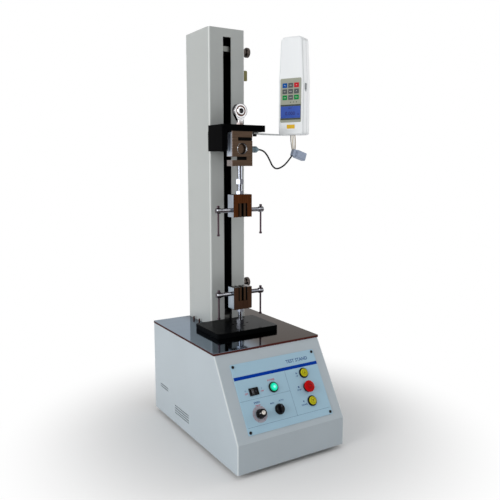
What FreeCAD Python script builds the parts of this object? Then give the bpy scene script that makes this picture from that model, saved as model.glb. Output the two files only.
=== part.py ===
import FreeCAD, Part
import math
import os

V = FreeCAD.Vector
X_AXIS = V(1, 0, 0)
Y_AXIS = V(0, 1, 0)
Z_AXIS = V(0, 0, 1)

# Bench frame while modelling: x from the cabinet's middle, y from its front edge, z from the floor.
# At the end everything moves so that the origin lies under the middle of the whole machine.

# Cabinet
cabinet_width = 280.0
cabinet_depth = 426.0
cabinet_height = 227.0
kink_height = 64.0
slope_setback = 100.0
sheet = 2.0
flange_width = 16.0
edge_radius = 4.0
foot_height = 10.0
foot_radius = 15.0
foot_inset = 35.0
top_plate_thickness = 5.0
top_plate_overhang = 1.0
cover_screw_radius = 1.7
base_bolt_radius = 1.5
base_bolt_head = 2.1
base_bolt_height = 8.0
base_bolt_standoff = 7.0
base_bolt_behind = (6.3, 37.3)
arm_screw_radius = 3.0
arm_screw_sink = 6.3
inlet_x = -85.0
inlet_z = 62.0
supply_x = (-120.0, -20.0)
supply_y = (70.0, 230.0)
supply_height = 42.0

# Vent slits in the cabinet's sides: middle from the back, lowest slit above the lower edge
slit_height = 2.6
slit_pitch = 6.0
rear_slits = {"from_back": 59.0, "length": 46.0, "low_z": 67.0, "count": 2}
front_slits = {"from_back": 159.0, "length": 78.0, "low_z": 26.0, "count": 4}

# Panel on the slope, in its own frame: u to the right, v up the slope from the kink, w outwards
panel_u = (-109.0, 112.8)
panel_v = (13.7, 165.0)
panel_thickness = 1.5
panel_screw_inset = 5.5
window_margin = 14.0
left_column_u = -69.7
middle_column_u = -19.4
right_column_u = 68.2
upper_row_v = 100.0
lower_row_v = 51.5
right_rows_v = (51.7, 83.4, 115.7)
bezel_radius = 11.6
bezel_height = 3.0
recess_floor = 1.0
cap_radius = 9.0
cap_recess = 9.3
stem_radius = 6.4
stem_clearance = 0.3
button_travel = 2.0
stop_travel = 2.5
stop_radius = 12.9
barrel_radius = 8.0
body_half = 9.5
body_depth = 38.0
rocker_half = 8.2
rocker_width = 10.6
rocker_tilt = 10.0
rocker_body_half = 10.3
rocker_body_v = 7.1
rocker_lip = 1.2
rocker_pivot_w = -1.5
rocker_pin_radius = 1.2
speed_knob_radius = 9.3
speed_skirt = 1.4
speed_shaft_radius = 3.0
fit_clearance = 0.05

# Column
column_offset = 11.5
column_width = 99.0
column_depth = 120.3
column_back_gap = 2.0
column_height = 721.8
column_corner = 5.0
slot_width = 21.4
slot_top_margin = 20.0
side_slot_width = 8.6
side_slot_margins = (20.0, 31.8)
side_slot_setback = 18.0
tab_reach = 10.5
tab_thickness = 2.0
tab_drop = (118.0, 93.0)

# Drive inside the column
guide_radius = 8.0
guide_half_spacing = 28.0
guide_setback = 75.0
screw_setback = 45.0
screw_radius = 8.0
journal_radius = 6.0
bottom_block_height = 20.0
top_plate_drop = 40.0
bearing_thickness = 12.0
carriage_depth = 82.0
carriage_half_width = 40.0
running_gap = 0.5
nut_radius = 14.0
nut_flange = 8.0
motor_size = 80.0
gearbox_height = 48.0
motor_can_height = 84.0
motor_gap = 46.0

# Load line
load_reach = 59.2
platform_width = 166.0
platform_depth = 118.0
platform_offset = 1.0
platform_thickness = 12.6
platform_corner = 6.0
platform_hole_radius = 3.0
platform_hole_circle = 20.0
stud_radius = 5.0
stud_depth = 14.0
nut_flats = 17.0
nut_height = 12.0

# Grips
grip_width = 50.6
grip_depth = 27.0
grip_height = 54.0
grip_leg = 13.0
grip_bridge = 21.0
jaw_gap = 5.0
jaw_thickness = 7.6
jaw_clearance = 0.4
tooth_pitch = 3.0
screw_from_mouth = 16.0
jaw_screw_radius = 5.0
jaw_tip_radius = 3.5
tip_depth = 4.0
end_play = 0.3
thread_clearance = 0.1
head_centre = 59.0
head_radius = 7.0
head_length = 13.0
bar_radius = 2.25
bar_knob_radius = 3.5
bar_knob_length = 5.0
bar_below = 60.0
bar_clearance = 0.1
lower_grip_rise = 39.4
upper_grip_drop = 66.5

# Crosshead
crosshead_rise = 492.6
crosshead_height = 61.0
crosshead_left = 54.0
crosshead_right = 52.5
arm_right = 64.6
arm_thickness = 15.1
arm_front_reach = 12.7
back_plate_thickness = 18.0
gusset_thickness = 14.0
neck_width = 18.0

# Load cell and rod end
cell_width = 56.4
cell_depth = 24.8
cell_height = 80.7
cell_slot_height = 8.0
cell_slot_offset = 22.5
cell_web = 16.5
cell_bore_radius = 13.0
cell_bore_depth = 8.0
eye_radius = 17.0
eye_width = 12.0
eye_height = 32.0
ball_radius = 11.6
ball_width = 16.0
ball_bore_radius = 6.0
neck_radius = 7.2
neck_height = 10.0
web_angle = 29.0
lock_nut_flats = 14.5
lock_nut_height = 5.0
shank_radius = 6.0
shank_depth = 11.0

# Limit knobs on the column's right side
upper_limit_drop = 47.5
lower_limit_rise = 98.0
limit_stem_radius = 4.0
limit_knob_radius = 12.0
limit_knob_thickness = 8.0
limit_knob_standoff = 13.0
limit_nut_thickness = 4.5

# Gauge, in its own frame: its front turned towards the left by gauge_turn
gauge_turn = 62.5
gauge_reach = 146.5
gauge_drop = 4.5
gauge_width = 69.0
gauge_top_width = 58.0
gauge_depth = 38.0
gauge_height = 236.0
gauge_taper_z = 130.0
gauge_split = 20.0
gauge_wall = 4.0
overlay_width = 57.0
overlay_z = (31.0, 137.0)
overlay_thickness = 0.8
key_size = (12.6, 11.0)
key_pitch = (16.0, 14.5)
key_first_z = 91.0
display_z = (37.0, 74.0)
display_width = 55.0
switch_z = 117.0
switch_travel = 5.0
strap_thickness = 3.0
bracket_plate = 3.0

# Cord
cord_radius = 2.0
gland_length = 24.4
gland_radius = 7.4
hood_tilt = 18.0

# Heights and places that follow from the sizes
cabinet_top = foot_height + cabinet_height
kink_z = foot_height + kink_height
deck_z = cabinet_top + top_plate_thickness
platform_top = deck_z + platform_thickness
column_back = cabinet_depth - column_back_gap
column_front = column_back - column_depth
column_top = deck_z + column_height
load_y = column_front - load_reach
screw_y = column_front + screw_setback
guide_y = column_front + guide_setback
slope_angle = math.degrees(math.atan2(cabinet_height - kink_height, slope_setback))
crosshead_top = deck_z + crosshead_rise
arm_z = crosshead_top - arm_thickness
crosshead_bottom = crosshead_top - crosshead_height
crosshead_back = column_front - running_gap
arm_front = load_y - arm_front_reach
top_bearing_z = column_top - top_plate_drop - bearing_thickness
cell_z = arm_z - cell_height
upper_grip_top = cell_z - upper_grip_drop
gauge_front_x = column_offset + gauge_reach
gauge_bottom_z = arm_z - gauge_drop
upper_limit_z = column_top - upper_limit_drop
lower_limit_z = deck_z + lower_limit_rise
lower_grip_z = platform_top + lower_grip_rise
eye_z = crosshead_top + eye_height
column_inner = column_width / 2 - sheet
screw_bottom_z = cabinet_top - motor_gap + 16.0


def box(x0, x1, y0, y1, z0, z1):
    return Part.makeBox(x1 - x0, y1 - y0, z1 - z0, V(x0, y0, z0))


def rod(radius, start, axis, length):
    return Part.makeCylinder(radius, length, start, axis)


def fuse(shapes):
    whole = shapes[0]
    for shape in shapes[1:]:
        whole = whole.fuse(shape)
    return whole.removeSplitter()


def edges_along(shape, axis, test=lambda middle: True):
    found = []
    for edge in shape.Edges:
        if not isinstance(edge.Curve, Part.Line):
            continue
        start, end = (v.Point for v in edge.Vertexes)
        direction = (end - start).normalize()
        if abs(direction.dot(axis)) > 0.999 and test((start + end) * 0.5):
            found.append(edge)
    return found


def rounded_block(x0, x1, y0, y1, z0, z1, radius, axis=Z_AXIS):
    block = box(x0, x1, y0, y1, z0, z1)
    return block.makeFillet(radius, edges_along(block, axis))


def prism(points, direction):
    return Part.Face(Part.makePolygon(list(points) + [points[0]])).extrude(direction)


def hexagon(flats, height, base, axis=Z_AXIS):
    reach = flats / math.sqrt(3)
    corners = [V(reach * math.cos(math.radians(a)), reach * math.sin(math.radians(a)), 0)
               for a in range(0, 360, 60)]
    nut = prism(corners, V(0, 0, height))
    nut.Placement = FreeCAD.Placement(base, FreeCAD.Rotation(Z_AXIS, axis))
    return nut


def revolved(profile, base, axis):
    """Turns a profile of (radius, height) points into a solid that stands on base along axis."""
    points = [V(r, 0, h) for r, h in profile]
    face = Part.Face(Part.makePolygon(points + [points[0]]))
    solid = face.revolve(V(0, 0, 0), Z_AXIS, 360)
    solid.Placement = FreeCAD.Placement(base, FreeCAD.Rotation(Z_AXIS, axis))
    return solid


def on_slope(shape):
    """Moves a shape from the panel's frame to its place on the sloping front."""
    moved = shape.copy()
    turn = FreeCAD.Rotation(X_AXIS, slope_angle)
    moved.Placement = FreeCAD.Placement(V(0, 0, kink_z), turn).multiply(moved.Placement)
    return moved


def on_gauge(shape):
    """Moves a shape from the gauge's frame (x to its right, y into it) to its place."""
    moved = shape.copy()
    turn = FreeCAD.Rotation(Z_AXIS, -gauge_turn)
    moved.Placement = FreeCAD.Placement(V(gauge_front_x, load_y, gauge_bottom_z), turn).multiply(moved.Placement)
    return moved


def cap_screw(radius, length, seat, axis):
    """A socket head screw; axis points from the seat towards the head."""
    head = revolved([(0, 0), (radius * 1.6, 0), (radius * 1.6, radius * 1.8), (radius * 1.4, radius * 2), (0, radius * 2)],
                    seat, axis)
    socket = hexagon(radius * 1.7, radius * 1.1, seat + axis * radius, axis)
    shank = rod(radius, seat - axis * length, axis, length)
    return fuse([head, shank]).cut(socket)


def dome_screw(seat, axis, length):
    head = revolved([(0, 0), (3.4, 0), (3.2, 0.9), (2.4, 1.7), (0, 2.0)], seat, axis)
    return fuse([head, rod(cover_screw_radius, seat - axis * length, axis, length)])


def cabinet_inner():
    """The hollow of the cabinet, open below and behind."""
    angle = math.radians(slope_angle)
    low_s = sheet * (1 - math.sin(angle)) / math.cos(angle)
    low_z = kink_z - sheet * math.cos(angle) + low_s * math.sin(angle)
    high_s = (cabinet_top - sheet - kink_z + sheet * math.cos(angle)) / math.sin(angle)
    high_y = sheet * math.sin(angle) + high_s * math.cos(angle)
    beyond = 5.0
    half = cabinet_width / 2 - sheet
    points = [V(-half, sheet, foot_height - beyond), V(-half, sheet, low_z), V(-half, high_y, cabinet_top - sheet),
              V(-half, cabinet_depth + beyond, cabinet_top - sheet), V(-half, cabinet_depth + beyond, foot_height - beyond)]
    return prism(points, V(2 * half, 0, 0)), high_y


def slits(group, side):
    outer = side * cabinet_width / 2
    half = group["length"] / 2
    middle = cabinet_depth - group["from_back"]
    cuts = []
    for n in range(group["count"]):
        z = foot_height + group["low_z"] + n * slit_pitch
        cuts.append(box(min(outer, outer - side * 2 * sheet) - 1, max(outer, outer - side * 2 * sheet) + 1,
                        middle - half, middle + half, z, z + slit_height))
    return cuts


def make_cabinet_shell():
    half = cabinet_width / 2
    side = [V(-half, 0, foot_height), V(-half, 0, kink_z), V(-half, slope_setback, cabinet_top),
            V(-half, cabinet_depth, cabinet_top), V(-half, cabinet_depth, foot_height)]
    outer = prism(side, V(cabinet_width, 0, 0))
    slope = (V(0, slope_setback, cabinet_top) - V(0, 0, kink_z)).normalize()
    front = edges_along(outer, Z_AXIS, lambda p: p.y < 1) + edges_along(outer, slope)
    outer = outer.makeFillet(edge_radius, front)
    inner, inner_y = cabinet_inner()
    shell = outer.cut(inner)
    shell = shell.cut(box(-half + flange_width, half - flange_width, inner_y + flange_width, cabinet_depth + 1,
                          cabinet_top - 2 * sheet, cabinet_top + 1))
    window = box(panel_u[0] + window_margin, panel_u[1] - window_margin,
                 panel_v[0] + window_margin, panel_v[1] - window_margin, -20, 20)
    shell = shell.cut(on_slope(window))
    for place in panel_screw_places():
        shell = shell.cut(on_slope(rod(cover_screw_radius, place - V(0, 0, 10), Z_AXIS, 20)))
    for group in (rear_slits, front_slits):
        for side_sign in (-1, 1):
            for cut in slits(group, side_sign):
                shell = shell.cut(cut)
    return shell


def inlet_box(grow, y0, y1):
    return box(inlet_x - 24 - grow, inlet_x + 24 + grow, y0, y1, inlet_z - 14 - grow, inlet_z + 14 + grow)


def make_base_tray():
    half = cabinet_width / 2 - sheet
    bottom = box(-half, half, sheet, cabinet_depth, foot_height, foot_height + sheet)
    back = box(-half, half, cabinet_depth - sheet, cabinet_depth, foot_height, cabinet_top - sheet)
    tray = fuse([bottom, back])
    tray = tray.cut(inlet_box(-1.5, cabinet_depth - 10, cabinet_depth + 10))
    for place in tray_screw_places():
        tray = tray.cut(rod(cover_screw_radius, place - V(0, 10, 0), Y_AXIS, 20))
    for row in range(5):
        z = foot_height + 130 + row * 2 * slit_pitch
        tray = tray.cut(rounded_block(20, 100, cabinet_depth - 10, cabinet_depth + 10, z, z + slit_height * 1.5,
                                      slit_height * 0.7, Y_AXIS))
    return tray


def foot_places():
    x = cabinet_width / 2 - foot_inset
    return [V(sx * x, y, 0) for sx in (-1, 1) for y in (foot_inset, cabinet_depth - foot_inset)]


def make_rubber_feet():
    profile = [(0, 0), (foot_radius - 2.5, 0), (foot_radius - 1, 1.5), (foot_radius, foot_height), (0, foot_height)]
    return Part.Compound([revolved(profile, place, Z_AXIS) for place in foot_places()])


def base_bolt_places():
    x = column_width / 2 + base_bolt_standoff
    return [V(column_offset + sx * x, y, deck_z) for sx in (-1, 1)
            for y in (screw_y + base_bolt_behind[0], screw_y + base_bolt_behind[1])]


def make_top_plate():
    half = cabinet_width / 2 + top_plate_overhang
    plate = rounded_block(-half, half, slope_setback - top_plate_overhang, cabinet_depth + top_plate_overhang,
                          cabinet_top, deck_z, 2.0)
    plate = plate.cut(rod(journal_radius * 2, V(column_offset, screw_y, cabinet_top - 1), Z_AXIS,
                          top_plate_thickness + 2))
    plate = plate.cut(rod(stud_radius, V(column_offset, load_y, cabinet_top - 1), Z_AXIS, top_plate_thickness + 2))
    for place in base_bolt_places():
        plate = plate.cut(rod(base_bolt_radius, place - V(0, 0, 10), Z_AXIS, 20))
    return plate


def make_base_bolts():
    r, h = base_bolt_head, base_bolt_height
    bolts = []
    for place in base_bolt_places():
        head = revolved([(0, 0), (r, 0), (r, h - 0.6), (r - 0.6, h), (0, h)], place, Z_AXIS)
        depth = top_plate_thickness + 3
        bolt = fuse([head, rod(base_bolt_radius, place - V(0, 0, depth), Z_AXIS, depth)])
        bolts.append(bolt.cut(hexagon(r, 2, place + V(0, 0, h - 1.8))))
    return Part.Compound(bolts)


def panel_screw_places():
    us = (panel_u[0] + panel_screw_inset, panel_u[1] - panel_screw_inset)
    vs = (panel_v[0] + panel_screw_inset, panel_v[1] - panel_screw_inset)
    return [V(u, v, panel_thickness) for u in us for v in vs]


def round_controls():
    places = [V(middle_column_u, upper_row_v, panel_thickness), V(middle_column_u, lower_row_v, panel_thickness)]
    return places + [V(right_column_u, v, panel_thickness) for v in right_rows_v]


def make_control_panel():
    panel = rounded_block(panel_u[0], panel_u[1], panel_v[0], panel_v[1], 0, panel_thickness, 1.5)
    for place in round_controls():
        panel = panel.cut(rod(barrel_radius + 0.1, place - V(0, 0, 5), Z_AXIS, 10))
    panel = panel.cut(rod(5.0, V(left_column_u, lower_row_v, -5), Z_AXIS, 10))
    panel = panel.cut(box(left_column_u - rocker_body_half, left_column_u + rocker_body_half,
                          upper_row_v - rocker_body_v, upper_row_v + rocker_body_v, -5, 5))
    for place in panel_screw_places():
        panel = panel.cut(rod(cover_screw_radius, place - V(0, 0, 5), Z_AXIS, 10))
    return on_slope(panel)


def push_body(place):
    """Bezel, barrel, fixing nut and contact block of a panel control, bored for its plunger."""
    bore = stem_radius + stem_clearance
    bezel = revolved([(0, 0), (bezel_radius, 0), (bezel_radius, bezel_height - 1), (bezel_radius - 1, bezel_height),
                      (0, bezel_height)], place, Z_AXIS)
    barrel = rod(barrel_radius, place - V(0, 0, 30), Z_AXIS, 30)
    nut = hexagon(bezel_radius * 1.9, 5, place - V(0, 0, panel_thickness + 5))
    block = box(place.x - body_half, place.x + body_half, place.y - body_half, place.y + body_half,
                place.z - body_depth, place.z - 28)
    body = fuse([bezel, barrel, nut, block])
    body = body.cut(rod(cap_recess, place + V(0, 0, recess_floor), Z_AXIS, bezel_height))
    return body.cut(rod(bore, place - V(0, 0, 14), Z_AXIS, 20))


def make_button_bodies():
    bodies = [push_body(place) for place in round_controls()]
    pot_base = V(left_column_u, lower_row_v, 0)
    pot = fuse([rod(12, pot_base - V(0, 0, 20), Z_AXIS, 20), rod(5.0, pot_base, Z_AXIS, panel_thickness + 1.0)])
    bodies.append(pot.cut(rod(speed_shaft_radius + fit_clearance, pot_base - V(0, 0, 12), Z_AXIS, 30)))
    u, v = left_column_u, upper_row_v
    half_u, half_v = rocker_body_half + rocker_lip, rocker_body_v + rocker_lip
    frame = box(u - half_u, u + half_u, v - half_v, v + half_v, panel_thickness, panel_thickness + 2)
    frame = frame.makeFillet(0.6, frame.Edges)
    housing = fuse([frame, box(u - rocker_body_half, u + rocker_body_half, v - rocker_body_v, v + rocker_body_v,
                               -18, panel_thickness + 1)])
    opening_u = rocker_half + 1.1
    opening_v = rocker_width / 2 + 0.4
    housing = housing.cut(box(u - opening_u, u + opening_u, v - opening_v, v + opening_v, -12, 10))
    housing = housing.cut(rod(rocker_pin_radius + fit_clearance, V(u, v - opening_v - 1.1, rocker_pivot_w), Y_AXIS,
                              2 * opening_v + 2.2))
    bodies.append(housing)
    return on_slope(Part.Compound(bodies))


def make_power_lamp():
    place = V(middle_column_u, upper_row_v, panel_thickness)
    lens = revolved([(0, recess_floor), (cap_recess, recess_floor), (cap_recess, bezel_height + 0.5),
                     (cap_recess - 1.5, bezel_height + 2), (cap_recess - 5, bezel_height + 3),
                     (0, bezel_height + 3.3)], place, Z_AXIS)
    return on_slope(lens)


def push_cap(place, head_profile):
    stem = rod(stem_radius, place - V(0, 0, 6), Z_AXIS, 6 + head_profile[0][1] + 0.5)
    return on_slope(fuse([stem, revolved(head_profile, place, Z_AXIS)]))


def make_flat_button(v):
    low = recess_floor + button_travel + 0.3
    return push_cap(V(right_column_u, v, panel_thickness),
                    [(0, low), (cap_radius, low), (cap_radius, low + 1.2), (cap_radius - 1.2, low + 2), (0, low + 2.3)])


def make_stop_button():
    low = bezel_height + stop_travel + 0.3
    profile = [(0, low), (stop_radius - 1.5, low), (stop_radius, low + 1.5), (stop_radius, low + 3),
               (stop_radius - 2, low + 4.6), (stop_radius - 6, low + 5.6), (0, low + 6)]
    return push_cap(V(right_column_u, right_rows_v[1], panel_thickness), profile)


def make_selector_knob():
    place = V(middle_column_u, lower_row_v, panel_thickness)
    low = bezel_height + 0.4
    disc = revolved([(0, low), (cap_radius + 1, low), (cap_radius + 1, low + 2.5), (cap_radius, low + 3.5),
                     (0, low + 3.5)], place, Z_AXIS)
    grip = rounded_block(place.x - 3.0, place.x + 3.0, place.y - cap_radius, place.y + cap_radius,
                         place.z + low + 3, place.z + low + 9, 2.2)
    stem = rod(stem_radius, place - V(0, 0, 6), Z_AXIS, 6.5 + low)
    return on_slope(fuse([disc, grip, stem]))


def make_speed_knob():
    r = speed_knob_radius
    base = V(left_column_u, lower_row_v, panel_thickness + 1.4)
    knob = revolved([(0, 0), (r + speed_skirt, 0), (r + speed_skirt, 1.6), (r, 2.8), (r - 0.6, 13.5), (r - 1.6, 15), (0, 15)],
                    base, Z_AXIS)
    for n in range(12):
        angle = math.radians(30 * n + 15)
        knob = knob.cut(rod(1.1, base + V((r + 0.3) * math.cos(angle), (r + 0.3) * math.sin(angle), 4.2), Z_AXIS, 20))
    shaft = rod(speed_shaft_radius, base - V(0, 0, 10), Z_AXIS, 12)
    return on_slope(fuse([knob, shaft]))


def make_rocker_switch():
    h = rocker_half
    profile = [V(-h + 1.5, 0, -5), V(-h, 0, 0), V(-h, 0, 3.5), V(0, 0, 1.8), V(h, 0, 3.5), V(h, 0, 0), V(h - 1.5, 0, -5)]
    rocker = prism(profile, V(0, rocker_width, 0))
    rocker.translate(V(0, -rocker_width / 2, 0))
    pin_reach = rocker_width / 2 + 1.1
    rocker = fuse([rocker, rod(rocker_pin_radius, V(0, -pin_reach, rocker_pivot_w), Y_AXIS, 2 * pin_reach)])
    rocker.rotate(V(0, 0, rocker_pivot_w), Y_AXIS, rocker_tilt)
    rocker.translate(V(left_column_u, upper_row_v, 0))
    return on_slope(rocker)


def back_cover_screw_places():
    return [V(column_offset + sx * (column_inner - 8), column_back, z) for sx in (-1, 1)
            for z in (deck_z + 30, (deck_z + column_top) / 2, column_top - 30)]


def tray_screw_places():
    x = cabinet_width / 2 - 20
    return [V(sx * x, cabinet_depth, z) for sx in (-1, 1) for z in (foot_height + 20, cabinet_top - 25)]


def make_cover_screws():
    screws = [on_slope(dome_screw(place, Z_AXIS, panel_thickness + sheet + 1)) for place in panel_screw_places()]
    screws += [dome_screw(place, Y_AXIS, sheet + 2) for place in back_cover_screw_places() + tray_screw_places()]
    return Part.Compound(screws)


def column_outline(inset, front_radius):
    half = column_width / 2 - inset
    front = column_front + inset
    block = box(column_offset - half, column_offset + half, front, column_back + 1, 0, column_top + 1)
    fronts = edges_along(block, Z_AXIS, lambda p: p.y < front + 1)
    return block.makeFillet(front_radius, fronts)


def make_column_cover():
    far = cabinet_width
    outer = column_outline(0, column_corner).common(box(-far, far, 0, column_back, deck_z, column_top))
    inner = column_outline(sheet, column_corner - sheet).common(
        box(-far, far, 0, column_back + 1, deck_z - 1, column_top - sheet))
    cover = outer.cut(inner)
    cover = cover.cut(box(column_offset - slot_width / 2, column_offset + slot_width / 2, column_front - 1,
                          column_front + 2 * sheet, deck_z - 1, column_top - slot_top_margin))
    side = column_offset + column_width / 2
    slot_y = column_front + side_slot_setback
    side_slot = rounded_block(side - 2 * sheet, side + 1, slot_y - side_slot_width / 2, slot_y + side_slot_width / 2,
                              deck_z + side_slot_margins[0], column_top - side_slot_margins[1],
                              side_slot_width * 0.45, X_AXIS)
    cover = cover.cut(side_slot)
    tab_y = column_front + column_corner + 0.3
    tab = box(side - 1, side + tab_reach, tab_y, tab_y + tab_thickness, column_top - tab_drop[0],
              column_top - tab_drop[1])
    tab = tab.makeFillet(3.0, edges_along(tab, Y_AXIS, lambda p: p.x > side))
    return fuse([cover, tab])


def make_column_back_cover():
    cover = box(column_offset - column_inner, column_offset + column_inner, column_back - sheet, column_back,
                deck_z, column_top - sheet)
    for place in back_cover_screw_places():
        cover = cover.cut(rod(cover_screw_radius, place - V(0, 10, 0), Y_AXIS, 20))
    return cover


def make_guide_rods():
    low = deck_z + bottom_block_height
    return Part.Compound([rod(guide_radius, V(column_offset + sx * guide_half_spacing, guide_y, low), Z_AXIS,
                              top_bearing_z - low) for sx in (-1, 1)])


def make_bearing_plates():
    plates = []
    for z0, z1 in ((deck_z, deck_z + bottom_block_height), (top_bearing_z, top_bearing_z + bearing_thickness)):
        plate = box(column_offset - column_inner, column_offset + column_inner, column_front + 8, guide_y + 21, z0, z1)
        plate = plate.makeChamfer(1.0, edges_along(plate, Z_AXIS))
        side = column_offset + column_inner
        plate = plate.cut(box(side - limit_nut_thickness - 2, side + 1, column_front, limit_place(0).y + 11,
                              z0 - 1, z1 + 1))
        plates.append(plate.cut(rod(journal_radius + fit_clearance, V(column_offset, screw_y, z0 - 1), Z_AXIS, 40)))
    return Part.Compound(plates)


def make_lead_screw():
    thread_low = deck_z + bottom_block_height + 0.3
    thread_high = top_bearing_z - 0.3
    base = V(column_offset, screw_y, screw_bottom_z)
    screw = fuse([rod(journal_radius, base, Z_AXIS, top_bearing_z + bearing_thickness + 6 - screw_bottom_z),
                  rod(screw_radius, V(column_offset, screw_y, thread_low), Z_AXIS, thread_high - thread_low)])
    coupling = revolved([(0, 0), (12, 0), (13, 1), (13, 13), (12, 14), (13, 15), (13, 27), (12, 28), (0, 28)],
                        base - V(0, 0, 13), Z_AXIS)
    coupling = coupling.cut(rod(journal_radius, base, Z_AXIS, 40))
    coupling = coupling.cut(rod(journal_radius - 1, base - V(0, 0, 30), Z_AXIS, 40))
    shaft = rod(journal_radius - 1, base - V(0, 0, 28), Z_AXIS, 26)
    return Part.Compound([screw, coupling, shaft])


def make_drive_motor():
    x, y = column_offset, screw_y
    half = motor_size / 2
    flange_z = screw_bottom_z - 16
    gearbox = rounded_block(x - half, x + half, y - half, y + half, flange_z - gearbox_height, flange_z, 5)
    gearbox = gearbox.cut(rod(journal_radius - 1 + fit_clearance, V(x, y, flange_z - 14), Z_AXIS, 20))
    can = rod(half - 2, V(x, y, flange_z - gearbox_height - motor_can_height), Z_AXIS, motor_can_height)
    posts = [rod(5, V(x + sx * (half - 8), y + sy * (half - 8), flange_z), Z_AXIS, cabinet_top - flange_z)
             for sx in (-1, 1) for sy in (-1, 1)]
    return Part.Compound([fuse([gearbox, can])] + posts)


def make_power_supply():
    low = foot_height + sheet
    case = box(supply_x[0], supply_x[1], supply_y[0], supply_y[1], low, low + supply_height)
    case = case.makeFillet(1.5, edges_along(case, Y_AXIS))
    for n in range(8):
        y = supply_y[0] + 20 + n * 8
        case = case.cut(box(supply_x[0] + 15, supply_x[0] + 60, y, y + 3, low + supply_height - 2,
                            low + supply_height + 3))
    return case


def make_power_inlet():
    flange = inlet_box(1.5, cabinet_depth, cabinet_depth + 2.5)
    flange = flange.makeFillet(4, edges_along(flange, Y_AXIS))
    body = inlet_box(-1.5, cabinet_depth - 24, cabinet_depth)
    inlet = fuse([flange, body])
    recess = prism([V(inlet_x - 12, 0, inlet_z - 8), V(inlet_x - 12, 0, inlet_z + 4), V(inlet_x - 8, 0, inlet_z + 8),
                    V(inlet_x + 8, 0, inlet_z + 8), V(inlet_x + 12, 0, inlet_z + 4), V(inlet_x + 12, 0, inlet_z - 8)],
                   V(0, 18, 0))
    recess.translate(V(0, cabinet_depth - 14, 0))
    inlet = inlet.cut(recess)
    pins = [box(inlet_x + x - 1, inlet_x + x + 1, cabinet_depth - 15, cabinet_depth - 1, inlet_z + z - 2,
                inlet_z + z + 2) for x, z in ((-7, -2), (7, -2), (0, 3))]
    return fuse([inlet] + pins)


def make_platform():
    x = platform_offset
    back = column_front - running_gap
    plate = rounded_block(x - platform_width / 2, x + platform_width / 2, back - platform_depth, back,
                          deck_z, platform_top, platform_corner)
    plate = plate.makeChamfer(0.8, edges_along(plate, X_AXIS) + edges_along(plate, Y_AXIS))
    plate = plate.cut(rod(stud_radius, V(column_offset, load_y, deck_z - 1), Z_AXIS, 30))
    for n in range(4):
        angle = math.radians(90 * n)
        hole = V(column_offset + platform_hole_circle * math.cos(angle),
                 load_y + platform_hole_circle * math.sin(angle), deck_z - 1)
        plate = plate.cut(rod(platform_hole_radius, hole, Z_AXIS, 30))
    return plate


def stud_with_nuts(low, high, nut_places):
    axis = V(column_offset, load_y, 0)
    pieces = [rod(stud_radius, axis + V(0, 0, low), Z_AXIS, high - low)]
    for z, height in nut_places:
        nut = hexagon(nut_flats, height, axis + V(0, 0, z))
        cone = revolved([(0, 0), (nut_flats * 0.5, 0), (nut_flats * 0.62, nut_flats * 0.07),
                         (nut_flats * 0.62, height - nut_flats * 0.07), (nut_flats * 0.5, height), (0, height)],
                        axis + V(0, 0, z), Z_AXIS)
        pieces.append(nut.common(cone).cut(rod(stud_radius, axis + V(0, 0, z - 1), Z_AXIS, height + 2)))
    return Part.Compound(pieces)


def in_grip(shape, mouth_up, z):
    """A grip is drawn mouth up on its closed end; the upper one is turned over about the front axis."""
    moved = shape.copy()
    if not mouth_up:
        moved.rotate(V(0, 0, 0), Y_AXIS, 180)
    moved.translate(V(column_offset, load_y, z))
    return moved


def make_grip_body():
    half = grip_width / 2
    deep = grip_depth / 2
    yoke = box(-half, half, -deep, deep, 0, grip_height)
    yoke = yoke.makeFillet(2.5, edges_along(yoke, Y_AXIS, lambda p: p.z < 1))
    yoke = yoke.cut(box(-half + grip_leg, half - grip_leg, -deep - 1, deep + 1, grip_bridge, grip_height + 1))
    yoke = yoke.cut(rod(jaw_screw_radius + thread_clearance, V(-half - 1, 0, grip_height - screw_from_mouth), X_AXIS,
                        grip_width + 2))
    return yoke.cut(rod(stud_radius, V(0, 0, -1), Z_AXIS, stud_depth + 1))


def make_jaw(side):
    """A jaw on the +x or -x side: toothed face inwards, a pocket behind for the screw's tip."""
    inner = jaw_gap / 2
    outer = inner + jaw_thickness
    deep = grip_depth / 2 - 1
    jaw = box(inner, outer, -deep, deep, grip_bridge + jaw_clearance, grip_height)
    jaw = jaw.makeChamfer(0.6, edges_along(jaw, Y_AXIS, lambda p: p.z > grip_height - 1))
    tooth = prism([V(inner - 0.1, -deep - 1, -0.8), V(inner + 0.7, -deep - 1, 0), V(inner - 0.1, -deep - 1, 0.8)],
                  V(0, 2 * deep + 2, 0))
    z = grip_bridge + jaw_clearance + tooth_pitch
    while z < grip_height - tooth_pitch / 2:
        groove = tooth.copy()
        groove.translate(V(0, 0, z))
        jaw = jaw.cut(groove)
        z += tooth_pitch
    jaw = jaw.cut(rod(jaw_tip_radius + fit_clearance, V(outer - tip_depth, 0, grip_height - screw_from_mouth), X_AXIS,
                      tip_depth + 1))
    return jaw if side > 0 else jaw.mirror(V(0, 0, 0), X_AXIS)


def make_jaw_screw(side):
    z = grip_height - screw_from_mouth
    back = jaw_gap / 2 + jaw_thickness
    low = head_centre - head_length / 2
    tip = rod(jaw_tip_radius, V(back - tip_depth + end_play, 0, z), X_AXIS, tip_depth + 1)
    shaft = rod(jaw_screw_radius, V(back + end_play, 0, z), X_AXIS, low - back)
    r = head_radius
    head = revolved([(0, 0), (r - 1.5, 0), (r - 0.3, 1.2), (r, 3.5), (r, head_length - 3.5),
                     (r - 0.3, head_length - 1.2), (r - 1.5, head_length), (0, head_length)], V(low, 0, z), X_AXIS)
    screw = fuse([tip, shaft, head])
    screw = screw.cut(rod(bar_radius + bar_clearance, V(head_centre, 0, z - 20), Z_AXIS, 40))
    return screw if side > 0 else screw.mirror(V(0, 0, 0), X_AXIS)


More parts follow.
